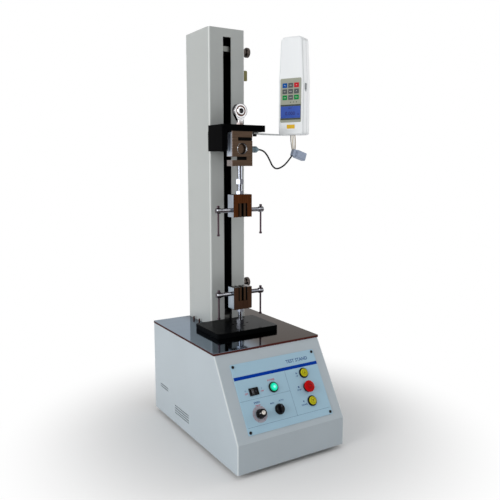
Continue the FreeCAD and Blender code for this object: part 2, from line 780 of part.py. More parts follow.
def make_tommy_bar(x, z):
    top = head_radius + end_play
    low = -bar_below
    r = bar_knob_radius
    n = bar_knob_length
    profile = [(0, low), (r - 1, low), (r, low + 1), (r, low + n - 1), (bar_radius, low + n), (bar_radius, top),
               (r, top + 1), (r, top + n - 1), (r - 1, top + n), (0, top + n)]
    return revolved(profile, V(x, load_y, z), Z_AXIS)


def make_carriage():
    x = column_offset
    front = column_front + 10
    block = rounded_block(x - carriage_half_width, x + carriage_half_width, front, front + carriage_depth,
                          crosshead_bottom, crosshead_top, 4)
    neck = box(x - neck_width / 2, x + neck_width / 2, crosshead_back, front + 1, crosshead_bottom, crosshead_top)
    carriage = fuse([block, neck])
    for sx in (-1, 1):
        carriage = carriage.cut(rod(guide_radius + fit_clearance, V(x + sx * guide_half_spacing, guide_y,
                                                                    crosshead_bottom - 1), Z_AXIS, 100))
    nut_seat = V(x, screw_y, crosshead_bottom - nut_flange)
    nut = fuse([rod(nut_radius, nut_seat, Z_AXIS, crosshead_height + nut_flange),
                rod(nut_radius + 8, nut_seat, Z_AXIS, nut_flange)])
    carriage = carriage.cut(rod(nut_radius, nut_seat, Z_AXIS, 100))
    nut = nut.cut(rod(screw_radius + fit_clearance, nut_seat - V(0, 0, 1), Z_AXIS, 100))
    return Part.Compound([carriage, nut])


def make_crosshead_block():
    left = column_offset - crosshead_left
    right = column_offset + crosshead_right
    plate = box(left, right, crosshead_back - back_plate_thickness, crosshead_back, crosshead_bottom, arm_z)
    gusset = box(left, left + gusset_thickness, arm_front, crosshead_back, crosshead_bottom, arm_z)
    block = fuse([plate, gusset])
    outer = edges_along(block, Z_AXIS, lambda p: p.x < left + 1)
    block = block.makeFillet(1.5, outer)
    for place in arm_screw_places():
        block = block.cut(rod(arm_screw_radius, place - V(0, 0, arm_thickness + 12), Z_AXIS, 30))
    return block


def arm_screw_places():
    y = crosshead_back - back_plate_thickness / 2
    left = column_offset - crosshead_left + gusset_thickness / 2
    z = crosshead_top - arm_screw_sink
    return [V(left, y, z), V(column_offset + crosshead_right - 10, y, z), V(left, arm_front + 16, z)]


def strap_screw_places():
    return [V(column_offset + arm_right - 5.2, load_y + dy, arm_z - strap_thickness) for dy in (28, 48)]


def make_crosshead_arm():
    arm = rounded_block(column_offset - crosshead_left, column_offset + arm_right, arm_front, crosshead_back,
                        arm_z, crosshead_top, 3.0)
    arm = arm.cut(rod(shank_radius, V(column_offset, load_y, arm_z - 1), Z_AXIS, 30))
    for place in arm_screw_places():
        arm = arm.cut(rod(arm_screw_radius, place - V(0, 0, 20), Z_AXIS, 30))
        arm = arm.cut(rod(arm_screw_radius * 1.6 + 0.2, place, Z_AXIS, arm_screw_sink + 1))
    for place in strap_screw_places():
        arm = arm.cut(rod(arm_screw_radius, place, Z_AXIS, strap_thickness + 8))
    return arm


def make_crosshead_screws():
    screws = [cap_screw(arm_screw_radius, arm_thickness + 10 - arm_screw_sink, place, Z_AXIS)
              for place in arm_screw_places()]
    screws += [cap_screw(arm_screw_radius, strap_thickness + 7, place, V(0, 0, -1)) for place in strap_screw_places()]
    return Part.Compound(screws)


def make_load_cell():
    x, half, deep = column_offset, cell_width / 2, cell_depth / 2
    middle = cell_z + cell_height / 2
    cell = box(x - half, x + half, load_y - deep, load_y + deep, cell_z, arm_z)
    cell = cell.makeChamfer(0.7, edges_along(cell, Z_AXIS))
    high = middle + cell_slot_offset
    low = middle - cell_slot_offset
    cell = cell.cut(box(x - half + cell_web, x + half + 1, load_y - deep - 1, load_y + deep + 1,
                        high - cell_slot_height / 2, high + cell_slot_height / 2))
    cell = cell.cut(box(x - half - 1, x + half - cell_web, load_y - deep - 1, load_y + deep + 1,
                        low - cell_slot_height / 2, low + cell_slot_height / 2))
    cell = cell.cut(rod(cell_bore_radius, V(x, load_y - deep - 1, middle), Y_AXIS, cell_bore_depth + 1))
    cell = cell.cut(rod(cell_bore_radius, V(x, load_y + deep - cell_bore_depth, middle), Y_AXIS, cell_bore_depth + 1))
    cell = cell.cut(rod(shank_radius, V(x, load_y, arm_z - shank_depth), Z_AXIS, shank_depth + 1))
    return cell.cut(rod(stud_radius, V(x, load_y, cell_z - 1), Z_AXIS, stud_depth + 1))


def make_rod_end_housing():
    centre = V(column_offset, load_y, eye_z)
    half = eye_width / 2
    r = eye_radius
    ring = revolved([(0, -half), (r - 0.8, -half), (r, -half + 0.8), (r, half - 0.8), (r - 0.8, half), (0, half)],
                    centre, Y_AXIS)
    deep = half - 0.8
    wide = r * math.cos(math.radians(web_angle))
    high = -r * math.sin(math.radians(web_angle))
    low = neck_height - eye_height
    web = prism([centre + V(-neck_radius, -deep, low), centre + V(-wide, -deep, high), centre + V(wide, -deep, high),
                 centre + V(neck_radius, -deep, low)], V(0, 2 * deep, 0))
    foot = V(column_offset, load_y, crosshead_top)
    neck = rod(neck_radius, foot, Z_AXIS, neck_height + 1)
    lock_nut = hexagon(lock_nut_flats, lock_nut_height, foot)
    shank = rod(shank_radius, V(column_offset, load_y, arm_z - shank_depth + 1), Z_AXIS, arm_thickness + shank_depth)
    housing = fuse([ring, web, neck, lock_nut, shank])
    return housing.cut(Part.makeSphere(ball_radius + fit_clearance, centre))


def make_rod_end_ball():
    centre = V(column_offset, load_y, eye_z)
    ball = Part.makeSphere(ball_radius, centre)
    reach = 2 * ball_radius
    ball = ball.common(box(centre.x - reach, centre.x + reach, load_y - ball_width / 2, load_y + ball_width / 2,
                           centre.z - reach, centre.z + reach))
    return ball.cut(rod(ball_bore_radius, centre - V(0, 20, 0), Y_AXIS, 40))


def limit_place(z):
    return V(column_offset + column_width / 2, column_front + side_slot_setback, z)


def make_limit_nut(z):
    """The block inside the column that trips the switch; the knob's stem passes through it."""
    side = limit_place(z)
    outer = side.x - sheet - 0.3
    block = box(outer - limit_nut_thickness, outer, side.y - 9, side.y + 9, z - 12, z + 12)
    return block.cut(rod(limit_stem_radius + fit_clearance, V(outer - 10, side.y, z), X_AXIS, 20))


def make_limit_knob(z):
    side = limit_place(z)
    inner = side.x - sheet - 0.3 - limit_nut_thickness - 1
    stem = rod(limit_stem_radius, V(inner, side.y, z), X_AXIS, side.x + limit_knob_standoff - inner)
    collar = rod(limit_stem_radius + 3, V(side.x + 0.3, side.y, z), X_AXIS, limit_knob_standoff - 0.3)
    r, t = limit_knob_radius, limit_knob_thickness
    disc = revolved([(0, 0), (r - 1, 0), (r, 1), (r, t - 1), (r - 1, t), (0, t)],
                    V(side.x + limit_knob_standoff, side.y, z), X_AXIS)
    knob = fuse([stem, collar, disc])
    for n in range(16):
        angle = math.radians(22.5 * n)
        knob = knob.cut(rod(1.0, V(side.x + limit_knob_standoff - 1, side.y + (r + 0.3) * math.cos(angle),
                                   z + (r + 0.3) * math.sin(angle)), X_AXIS, t + 2))
    return knob


def gauge_outline(inset):
    bottom = gauge_width / 2 - inset
    top = gauge_top_width / 2 - inset
    return [V(-bottom, inset, inset), V(bottom, inset, inset), V(bottom, inset, gauge_taper_z),
            V(top, inset, gauge_height - inset), V(-top, inset, gauge_height - inset), V(-bottom, inset, gauge_taper_z)]


def gauge_solid(inset):
    depth = gauge_depth - 2 * inset
    body = prism(gauge_outline(inset), V(0, depth, 0))
    low = edges_along(body, Y_AXIS, lambda p: p.z < gauge_height * 0.1)
    body = body.makeFillet(7.0 - inset * 0.8, low)
    high = edges_along(body, Y_AXIS, lambda p: p.z > gauge_height * 0.9)
    return body.makeFillet(12.0 - inset * 0.8, high)


def make_gauge_shells():
    outer = gauge_solid(0)
    rims = []
    for edge in outer.Edges:
        ys = [v.Point.y for v in edge.Vertexes]
        if max(ys) < 0.01 or min(ys) > gauge_depth - 0.01:
            rims.append(edge)
    outer = outer.makeFillet(4.0, rims)
    shell = outer.cut(gauge_solid(gauge_wall))
    right = gauge_width / 2
    recess = box(right - 2.5, right + 5, 8, 16, switch_z - 7 - switch_travel - 0.4, switch_z + 7.4)
    shell = shell.cut(recess)
    far = 400
    front = shell.common(box(-far, far, -far, gauge_split, -far, far))
    back = shell.common(box(-far, far, gauge_split, far, -far, far))
    return on_gauge(front), on_gauge(back)


def make_gauge_overlay():
    half = overlay_width / 2
    plate = rounded_block(-half, half, -overlay_thickness, 0, overlay_z[0], overlay_z[1], 3.0, Y_AXIS)
    window = box(-display_width / 2, display_width / 2, -overlay_thickness - 0.4, -0.2, display_z[0], display_z[1])
    pieces = [plate, window]
    for column in (-1, 0, 1):
        for row in range(3):
            x = column * key_pitch[0]
            z = key_first_z + row * key_pitch[1]
            pieces.append(rounded_block(x - key_size[0] / 2, x + key_size[0] / 2, -overlay_thickness - 0.5, -0.2,
                                        z - key_size[1] / 2, z + key_size[1] / 2, 1.0, Y_AXIS))
    return on_gauge(fuse(pieces))


def make_gauge_switch():
    right = gauge_width / 2
    slider = box(right - 2.2, right + 1.6, 8.4, 15.6, switch_z - 7, switch_z + 7)
    slider = slider.makeFillet(0.7, edges_along(slider, Y_AXIS, lambda p: p.x > right))
    return on_gauge(slider)


def gauge_point(x, y):
    return on_gauge(Part.Vertex(x, y, 0)).Vertexes[0].Point


def make_gauge_bracket():
    """A strap under the arm that runs behind the gauge, and an upright plate on the gauge's back."""
    left = column_offset + crosshead_right + 0.3
    reach = column_offset + arm_right
    back = crosshead_back
    outer = gauge_depth + bracket_plate
    plan = [V(left, load_y + 20, 0), V(reach, load_y + 20, 0), V(reach + 10, back - 18, 0),
            V(reach + 25, back - 18, 0), V(gauge_front_x - 18, back - 6, 0), gauge_point(-41, gauge_depth),
            gauge_point(-18, outer), gauge_point(-18, outer + 7), V(gauge_front_x + 22, back + 10, 0),
            V(gauge_front_x - 38, back + 10, 0), V(reach + 22, back, 0), V(left, back, 0)]
    plan = [V(point.x, point.y, 0) for point in plan]
    strap = prism(plan, V(0, 0, strap_thickness))
    strap.translate(V(0, 0, arm_z - strap_thickness))
    low = arm_z - strap_thickness - gauge_bottom_z
    plate = on_gauge(box(-41, 12, gauge_depth, outer, low, 92))
    bracket = fuse([strap, plate])
    for place in strap_screw_places():
        bracket = bracket.cut(rod(arm_screw_radius, place - V(0, 0, 5), Z_AXIS, 20))
    return bracket


# Cord: points of its route, from the gland to the connector hood, and of the leads up into the gauge
gland_end_x = column_offset + cell_width / 2 + gland_length
cord_z = cell_z + cell_height / 2 - 1.0
cord_route = [V(gland_end_x, load_y, cord_z), V(gland_end_x + 12, load_y, cord_z - 1.5),
              V(gland_end_x + 24, load_y + 0.6, cord_z - 11), V(gland_end_x + 34, load_y + 1.5, cord_z - 26),
              V(gland_end_x + 42.5, load_y + 2.2, cord_z - 40.5), V(gland_end_x + 54, load_y + 2.6, cord_z - 47),
              V(gland_end_x + 70, load_y + 2.4, cord_z - 42.5), V(gland_end_x + 85, load_y + 1.4, cord_z - 31.5),
              V(gland_end_x + 100, load_y, cord_z - 12.5)]
leads_x = gauge_front_x + 11.4
leads_route = [V(leads_x, load_y + 5.8, gauge_bottom_z), V(leads_x + 0.5, load_y + 4.2, gauge_bottom_z - 17),
               V(leads_x - 0.4, load_y + 1.0, gauge_bottom_z - 35.5)]
leads_radius = 2.6


def route_tube(route, radius, name):
    """Straight runs joined by tangent arcs, as wide as the shorter run beside each point allows."""
    corners = []
    for n in range(1, len(route) - 1):
        before = (route[n - 1] - route[n])
        after = (route[n + 1] - route[n])
        turn = math.pi - before.getAngle(after)
        cut = 0.45 * min(before.Length, after.Length)
        start = route[n] + V(before).normalize() * cut
        end = route[n] + V(after).normalize() * cut
        arc_radius = cut / math.tan(turn / 2)
        middle_way = (V(before).normalize() + V(after).normalize()).normalize()
        centre = route[n] + middle_way * (arc_radius / math.cos(turn / 2))
        corners.append((start, centre - middle_way * arc_radius, end))
        print(name, "point", n, "turn", round(math.degrees(turn), 1), "radius", round(arc_radius, 1))
    edges = []
    here = route[0]
    for start, middle, end in corners:
        edges.append(Part.LineSegment(here, start).toShape())
        edges.append(Part.Arc(start, middle, end).toShape())
        here = end
    edges.append(Part.LineSegment(here, route[-1]).toShape())
    path = Part.Wire(edges)
    section = Part.Wire(Part.makeCircle(radius, route[0], route[1] - route[0]))
    tube = path.makePipeShell([section], True, False)
    share = tube.Volume / (math.pi * radius ** 2 * path.Length)
    print(name, "length", round(path.Length, 1), "volume over section times length", round(share, 4))
    return tube


def make_cord_gland():
    r = gland_radius
    profile = [(0, 0), (r, 0), (r, 9), (r - 0.6, 9.6), (r - 0.6, 10.6), (r + 0.3, 11.2), (r + 0.3, 17), (r - 2.4, 21),
               (cord_radius + 1.2, 23), (cord_radius + 1.0, gland_length), (0, gland_length)]
    base = V(column_offset + cell_width / 2, load_y, cord_z)
    body = revolved(profile, base, X_AXIS)
    flats = hexagon(2 * r * 0.93, 9, base, X_AXIS)
    keep = fuse([flats, rod(r + 1, base + V(9, 0, 0), X_AXIS, gland_length)])
    return body.common(keep)


def make_cord_hood():
    """Connector hood below the gauge, tilted down to the right."""
    hood = rounded_block(0, 31, -6.5, 6.5, -10, 10, 2.5, Y_AXIS)
    collar = rounded_block(-9, 1, -5.5, 5.5, -8.5, 8.5, 2.0, Y_AXIS)
    whole = fuse([hood, collar])
    rib = box(3, 28, -7.2, 7.2, -7, 7)
    whole = fuse([whole, rib])
    whole.rotate(V(0, 0, 0), Y_AXIS, hood_tilt)
    whole.translate(V(gauge_front_x + 14.3, load_y, gauge_bottom_z - 45))
    return whole


nodes = {
    "cabinet_shell": make_cabinet_shell(),
    "base_tray": make_base_tray(),
    "rubber_feet": make_rubber_feet(),
    "top_plate": make_top_plate(),
    "control_panel": make_control_panel(),
    "cover_screws": make_cover_screws(),
    "button_bodies": make_button_bodies(),
    "power_lamp": make_power_lamp(),
    "column_cover": make_column_cover(),
    "column_back_cover": make_column_back_cover(),
    "base_bolts": make_base_bolts(),
    "guide_rods": make_guide_rods(),
    "bearing_plates": make_bearing_plates(),
    "drive_motor": make_drive_motor(),
    "power_supply": make_power_supply(),
    "power_inlet": make_power_inlet(),
    "platform": make_platform(),
    "lower_pull_rod": stud_with_nuts(cabinet_top, lower_grip_z + stud_depth,
                                     [(platform_top, nut_height), (lower_grip_z - 8, 8.0)]),
    "lead_screw": make_lead_screw(),
    "up_button": make_flat_button(right_rows_v[2]),
    "stop_button": make_stop_button(),
    "down_button": make_flat_button(right_rows_v[0]),
    "selector_knob": make_selector_knob(),
    "speed_knob": make_speed_knob(),
    "rocker_switch": make_rocker_switch(),
    "carriage": make_carriage(),
    "crosshead_block": make_crosshead_block(),
    "crosshead_arm": make_crosshead_arm(),
    "crosshead_screws": make_crosshead_screws(),
    "load_cell": make_load_cell(),
    "rod_end_housing": make_rod_end_housing(),
    "rod_end_ball": make_rod_end_ball(),
    "upper_pull_rod": stud_with_nuts(upper_grip_top - stud_depth, cell_z + stud_depth,
                                     [(upper_grip_top, 8.0), (upper_grip_top + 24, nut_height)]),
    "gauge_overlay": make_gauge_overlay(),
    "gauge_power_switch": make_gauge_switch(),
    "gauge_bracket": make_gauge_bracket(),
    "cord_gland": make_cord_gland(),
    "sensor_cord": route_tube(cord_route, cord_radius, "sensor_cord"),
    "gauge_leads": route_tube(leads_route, leads_radius, "gauge_leads"),
    "cord_hood": make_cord_hood(),
}
nodes["gauge_front_shell"], nodes["gauge_back_shell"] = make_gauge_shells()

for grip, mouth_up, base_z in (("lower", True, lower_grip_z), ("upper", False, upper_grip_top)):
    nodes[grip + "_grip_body"] = in_grip(make_grip_body(), mouth_up, base_z)
    rise = grip_height - screw_from_mouth
    screw_z = base_z + (rise if mouth_up else -rise)
    for side_name, side in (("left", -1), ("right", 1)):
        drawn = side if mouth_up else -side
        nodes[grip + "_" + side_name + "_jaw"] = in_grip(make_jaw(drawn), mouth_up, base_z)
        nodes[grip + "_" + side_name + "_screw"] = in_grip(make_jaw_screw(drawn), mouth_up, base_z)
        nodes[grip + "_" + side_name + "_bar"] = make_tommy_bar(column_offset + side * head_centre, screw_z)

for name, z in (("upper_limit", upper_limit_z), ("lower_limit", lower_limit_z)):
    nodes[name + "_nut"] = make_limit_nut(z)
    nodes[name + "_knob"] = make_limit_knob(z)

# The origin goes under the middle of the machine, measured without the cord and what is on it.
cord_names = ("sensor_cord", "gauge_leads", "cord_hood")
extent = FreeCAD.BoundBox()
for name, shape in nodes.items():
    if name not in cord_names:
        extent.add(shape.optimalBoundingBox(False, False))
shift = V(-(extent.XMin + extent.XMax) / 2, -(extent.YMin + extent.YMax) / 2, -extent.ZMin)

os.makedirs("parts", exist_ok=True)
for name, shape in nodes.items():
    placed = shape.copy()
    placed.translate(shift)
    placed.exportStep("parts/" + name + ".step")

print("nodes", len(nodes), "shift", shift, "size", extent.XLength, extent.YLength, extent.ZLength)
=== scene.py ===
import math
import bpy
import numpy as np
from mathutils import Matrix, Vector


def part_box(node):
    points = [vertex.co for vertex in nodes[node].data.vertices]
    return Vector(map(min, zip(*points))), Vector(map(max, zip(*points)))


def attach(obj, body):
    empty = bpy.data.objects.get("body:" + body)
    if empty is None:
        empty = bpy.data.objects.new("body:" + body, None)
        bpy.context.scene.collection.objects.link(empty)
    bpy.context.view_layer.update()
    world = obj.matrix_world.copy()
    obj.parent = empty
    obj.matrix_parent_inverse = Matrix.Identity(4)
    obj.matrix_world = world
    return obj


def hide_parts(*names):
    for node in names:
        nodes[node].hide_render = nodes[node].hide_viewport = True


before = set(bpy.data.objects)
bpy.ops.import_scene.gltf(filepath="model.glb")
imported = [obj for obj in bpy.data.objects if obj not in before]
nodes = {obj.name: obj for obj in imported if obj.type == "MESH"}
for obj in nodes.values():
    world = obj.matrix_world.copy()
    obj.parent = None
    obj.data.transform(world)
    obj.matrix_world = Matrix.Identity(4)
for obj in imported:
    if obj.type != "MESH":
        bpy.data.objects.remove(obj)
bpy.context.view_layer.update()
print("frame loaded:", len(nodes), "nodes")

# Millimetres are measured on the bench: x from the cabinet's middle, y from its front edge
benchOrigin = np.array([-0.0326209, -0.21425, 0.0])
mm = 0.001

slope = {"kinkHeight": 74.0, "angle": 58.471, "sheet": 1.5}
gauge = {"turn": 62.5, "frontX": 158.0, "bottomZ": 715.0}
loadLine = {"x": 11.5, "y": 244.5}


def axes(points):
    # the x, the y and the z of all the points
    return np.moveaxis(np.asarray(points, float), -1, 0)


def bench(points):
    # bench millimetres to row metres
    return np.asarray(points, float) * mm + benchOrigin


def panelPlace(points):
    # panel u, v, w to the bench: turned about x by the slope's angle, then lifted to the kink
    u, v, w = axes(points)
    a = math.radians(slope["angle"])
    y = v * math.cos(a) - (w + slope["sheet"]) * math.sin(a)
    z = v * math.sin(a) + (w + slope["sheet"]) * math.cos(a) + slope["kinkHeight"]
    return bench(np.stack([u, y, z], -1))


def panelAt(u, v, w):
    # carries a small shape to a spot on the panel
    return lambda points: panelPlace(points + np.array([u, v, w]))


def gaugePlace(points):
    # gauge x to its right, y into it, z up: turned about z so that its front looks to the left
    x, y, z = axes(points)
    a = math.radians(gauge["turn"])
    turnedX = gauge["frontX"] + x * math.cos(a) + y * math.sin(a)
    turnedY = loadLine["y"] - x * math.sin(a) + y * math.cos(a)
    return bench(np.stack([turnedX, turnedY, z + gauge["bottomZ"]], -1))


# The points of a flat shape on a wall are x, y, level: y is height, and the level stands out of the wall
def onGaugeFront(points):
    x, y, level = axes(points)
    return gaugePlace(np.stack([x, -level, y], -1))


def onFront(points):
    x, y, level = axes(points)
    return bench(np.stack([x, -level, y], -1))


def onBack(points):
    x, y, level = axes(points)
    return bench(np.stack([-x, level, y], -1))


def upright(spot):
    # carries a shape round the height axis to a spot on the bench
    return lambda points: bench(points + np.array(spot))


def alongX(spot, side):
    # turns the height axis to +x or -x and carries it to a spot on the bench
    def place(points):
        x, y, z = axes(points)
        return bench(np.stack([side * z, x, side * y], -1) + np.array(spot))
    return place


def alongY(spot, side):
    # turns the height axis to +y or -y and carries it to a spot on the bench
    def place(points):
        x, y, z = axes(points)
        return bench(np.stack([-side * x, side * z, y], -1) + np.array(spot))
    return place


def screenColor(rgb):
    # screen values 0 to 255 to a linear colour
    v = np.array(rgb) / 255.0
    linear = np.where(v <= 0.04045, v / 12.92, ((v + 0.055) / 1.055) ** 2.4)
    return (*linear.tolist(), 1.0)


def setInput(tree, socket, value):
    # another node's output is linked, anything else is the input's own value
    if isinstance(value, bpy.types.NodeSocket):
        tree.links.new(value, socket)
    else:
        socket.default_value = value


def addNode(tree, kind, **settings):
    node = tree.nodes.new(kind)
    for key, value in settings.items():
        if key in node.inputs:
            setInput(tree, node.inputs[key], value)
        else:
            setattr(node, key, value)
    return node


def mathNode(tree, operation, *values, kind="ShaderNodeMath", output="Value"):
    node = addNode(tree, kind, operation=operation)
    for socket, value in zip(node.inputs, values):
        setInput(tree, socket, value)
    return node.outputs[output]


def vectorNode(tree, operation, *values, output="Value"):
    return mathNode(tree, operation, *values, kind="ShaderNodeVectorMath", output=output)


def rangeNode(tree, value, low, high, start=0.0, end=1.0, smooth=False):
    # low to high becomes start to end, with a soft beginning and end where it is smooth
    limits = {"Value": value, "From Min": low, "From Max": high, "To Min": start, "To Max": end}
    steps = "SMOOTHSTEP" if smooth else "LINEAR"
    return addNode(tree, "ShaderNodeMapRange", interpolation_type=steps, **limits).outputs["Result"]


def between(tree, value, low, high):
    # 1 where the value lies between the two limits
    return mathNode(tree, "COMPARE", value, (low + high) / 2, (high - low) / 2)


def blendColors(tree, factor, first, second):
    node = addNode(tree, "ShaderNodeMix", data_type="RGBA", Factor=factor, A=first, B=second)
    return node.outputs["Result"]


def placeOf(tree, kind="Object"):
    return addNode(tree, "ShaderNodeTexCoord").outputs[kind]


def noiseAt(tree, place, scale, detail):
    return addNode(tree, "ShaderNodeTexNoise", Vector=place, Scale=scale, Detail=detail).outputs["Fac"]


def splitPlace(tree, kind="Object"):
    # x, y and z of the place on the object, or of the surface's own normal
    split = addNode(tree, "ShaderNodeSeparateXYZ", Vector=placeOf(tree, kind))
    return [split.outputs[axis] for axis in "XYZ"]


# A socket's kind by how many numbers it holds
socketKinds = {1: "NodeSocketFloat", 3: "NodeSocketVector", 4: "NodeSocketColor"}
outputSizes = {"Color": 4, "Roughness": 1, "Normal": 3, "Mask": 1}
paleGrey = (0.6, 0.6, 0.6, 1.0)
# The noises: what part of their range shades, their scale and detail, how much rougher and how high they make
grain = {"shading": (0.3, 0.7), "mottleScale": 7.0, "detail": 3.0, "peelDetail": 2.0, "peelHeight": 0.0002,
         "enamelRougher": 1.25, "brushedRougher": 1.5, "brushedStrength": 0.15, "brushedHeight": 0.0001}
# Where each mask rises from 0 to 1
masks = {"sideways": (0.55, 0.85), "wave": (-0.45, 0.45), "bend": (0.06, 0.2)}


def newGroup(name, inputs, outputs):
    group = bpy.data.node_groups.new(name, "ShaderNodeTree")
    for label, value in inputs.items():
        socket = group.interface.new_socket(label, in_out="INPUT", socket_type=socketKinds[np.size(value)])
        socket.default_value = value
    for label in outputs:
        group.interface.new_socket(label, in_out="OUTPUT", socket_type=socketKinds[outputSizes[label]])
    return group, group.nodes.new("NodeGroupInput").outputs, group.nodes.new("NodeGroupOutput").inputs


def shadeByNoise(group, source, sink, noise, depth, rougher):
    # the noise darkens the colour by up to the depth, and raises the roughness by up to the factor
    shade = rangeNode(group, noise, *grain["shading"], mathNode(group, "SUBTRACT", 1.0, depth))
    tint = addNode(group, "ShaderNodeVectorMath", operation="SCALE", Scale=shade)
    group.links.new(source["Color"], tint.inputs[0])
    group.links.new(tint.outputs["Vector"], sink["Color"])
    roughest = mathNode(group, "MULTIPLY", source["Roughness"], rougher)
    group.links.new(rangeNode(group, noise, 0.0, 1.0, source["Roughness"], roughest), sink["Roughness"])


def raiseByNoise(group, sink, noise, strength, height):
    # the noise is a height, which bends the normal
    bump = addNode(group, "ShaderNodeBump", Height=noise, Strength=strength, Distance=height)
    group.links.new(bump.outputs["Normal"], sink["Normal"])


def buildEnamelGroup():
    # two noises: a wide one shades the colour a little, a fine one is the orange-peel height
    group, source, sink = newGroup(
        "enamelSurface", {"Color": paleGrey, "Mottle": 0.05, "Grain Scale": 600.0, "Grain Height": 0.1,
                          "Roughness": 0.4}, ["Color", "Roughness", "Normal"])
    place = placeOf(group)
    wide = noiseAt(group, place, grain["mottleScale"], grain["detail"])
    fine = noiseAt(group, place, source["Grain Scale"], grain["peelDetail"])
    shadeByNoise(group, source, sink, wide, source["Mottle"], grain["enamelRougher"])
    raiseByNoise(group, sink, fine, source["Grain Height"], grain["peelHeight"])
    return group


def buildBrushedGroup():
    # a noise stretched along the brushing direction shades the colour and the roughness
    group, source, sink = newGroup(
        "brushedMetal", {"Color": paleGrey, "Stretch": (20.0, 900.0, 900.0), "Streak": 0.15,
                         "Roughness": 0.2}, ["Color", "Roughness", "Normal"])
    along = vectorNode(group, "MULTIPLY", placeOf(group), source["Stretch"], output="Vector")
    noise = noiseAt(group, along, 1.0, grain["detail"])
    shadeByNoise(group, source, sink, noise, source["Streak"], grain["brushedRougher"])
    raiseByNoise(group, sink, noise, grain["brushedStrength"], grain["brushedHeight"])
    return group


def buildSideGroup():
    # a mask of the faces that look along x, from the surface's own normal
    group, source, sink = newGroup("sideFaces", {}, ["Mask"])
    sideways = mathNode(group, "ABSOLUTE", splitPlace(group, "Normal")[0])
    group.links.new(rangeNode(group, sideways, *masks["sideways"], smooth=True), sink["Mask"])
    return group


def buildFoldGroup():
    # a mask of bent edges, where the paint gets its painted highlight: how far a surface faces sideways times
    # how far it faces any other way
    group, source, sink = newGroup("foldHighlightEdges", {}, ["Mask"])
    squared = mathNode(group, "POWER", splitPlace(group, "Normal")[0], 2.0)
    bend = mathNode(group, "MULTIPLY", squared, mathNode(group, "SUBTRACT", 1.0, squared))
    group.links.new(rangeNode(group, bend, *masks["bend"], smooth=True), sink["Mask"])
    return group


def buildBandGroup():
    # painted reflection: the light and dark bands of polished metal, painted as a sine wave of how far a
    # surface turns to a direction
    group, source, sink = newGroup(
        "paintedReflectionBands", {"Bright": (0.8, 0.8, 0.8, 1.0), "Dark": (0.1, 0.1, 0.1, 1.0),
                        "Direction": (1.0, 0.0, 0.0), "Waves": 4.49, "Phase": 0.0}, ["Color"])
    toward = vectorNode(group, "DOT_PRODUCT", placeOf(group, "Normal"), source["Direction"])
    turned = mathNode(group, "MULTIPLY", toward, source["Waves"])
    wave = mathNode(group, "SINE", mathNode(group, "ADD", turned, source["Phase"]))
    mask = rangeNode(group, wave, *masks["wave"], smooth=True)
    group.links.new(blendColors(group, mask, source["Dark"], source["Bright"]), sink["Color"])
    return group


enamelGroup = buildEnamelGroup()
brushedGroup = buildBrushedGroup()
foldHighlightGroup = buildFoldGroup()
sideGroup = buildSideGroup()
reflectionBandGroup = buildBandGroup()
coatRoughness = 0.1
paints = {}


def newMaterial(name, color, roughness, metallic=0.0):
    material = bpy.data.materials.new(name)
    material.use_nodes = True
    surface = material.node_tree.nodes["Principled BSDF"]
    for label, value in (("Base Color", color), ("Roughness", roughness), ("Metallic", metallic)):
        surface.inputs[label].default_value = value
    return material, surface


def groupedMaterial(name, group, values, metallic=0.0, coat=0.0, specular=0.5):
    # the values fill the group's inputs, colour first and roughness last, and its outputs feed the surface
    paints[name], surface = newMaterial(name, values[0], values[-1], metallic)
    tree = paints[name].node_tree
    effect = addNode(tree, "ShaderNodeGroup", node_tree=group)
    for socket, value in zip(effect.inputs, values):
        socket.default_value = value
    for label, target in (("Color", "Base Color"), ("Roughness", "Roughness"), ("Normal", "Normal")):
        tree.links.new(effect.outputs[label], surface.inputs[target])
    surface.inputs["Coat Weight"].default_value = coat
    surface.inputs["Coat Roughness"].default_value = coatRoughness
    surface.inputs["Specular IOR Level"].default_value = specular
    return tree, surface.inputs, effect


def enamelMaterial(name, color, mottle, scale, height, rough, coat, specular):
    return groupedMaterial(name, enamelGroup, (screenColor(color), mottle, scale, height, rough),
                           coat=coat, specular=specular)


def brushedMaterial(name, color, stretch, streak, rough):
    return groupedMaterial(name, brushedGroup, (screenColor(color), stretch, streak, rough), metallic=1.0)


# Finishes that several colours share, without the colour
ink = (0.03, 1500.0, 0.0, 0.4, 0.0, 0.3)
keyFilm = (0.04, 1500.0, 0.03, 0.4, 0.0, 0.1)
leadSkin = (0.1, 1500.0, 0.1, 0.5, 0.0, 0.4)
capMark = (0.08, 1200.0, 0.05, 0.4, 0.0, 0.15)
labelFoil = (0.08, 1500.0, 0.0, 0.4, 0.0, 0.2)
backlit = (0.08, 1500.0, 0.02, 0.25, 0.0, 0.15)
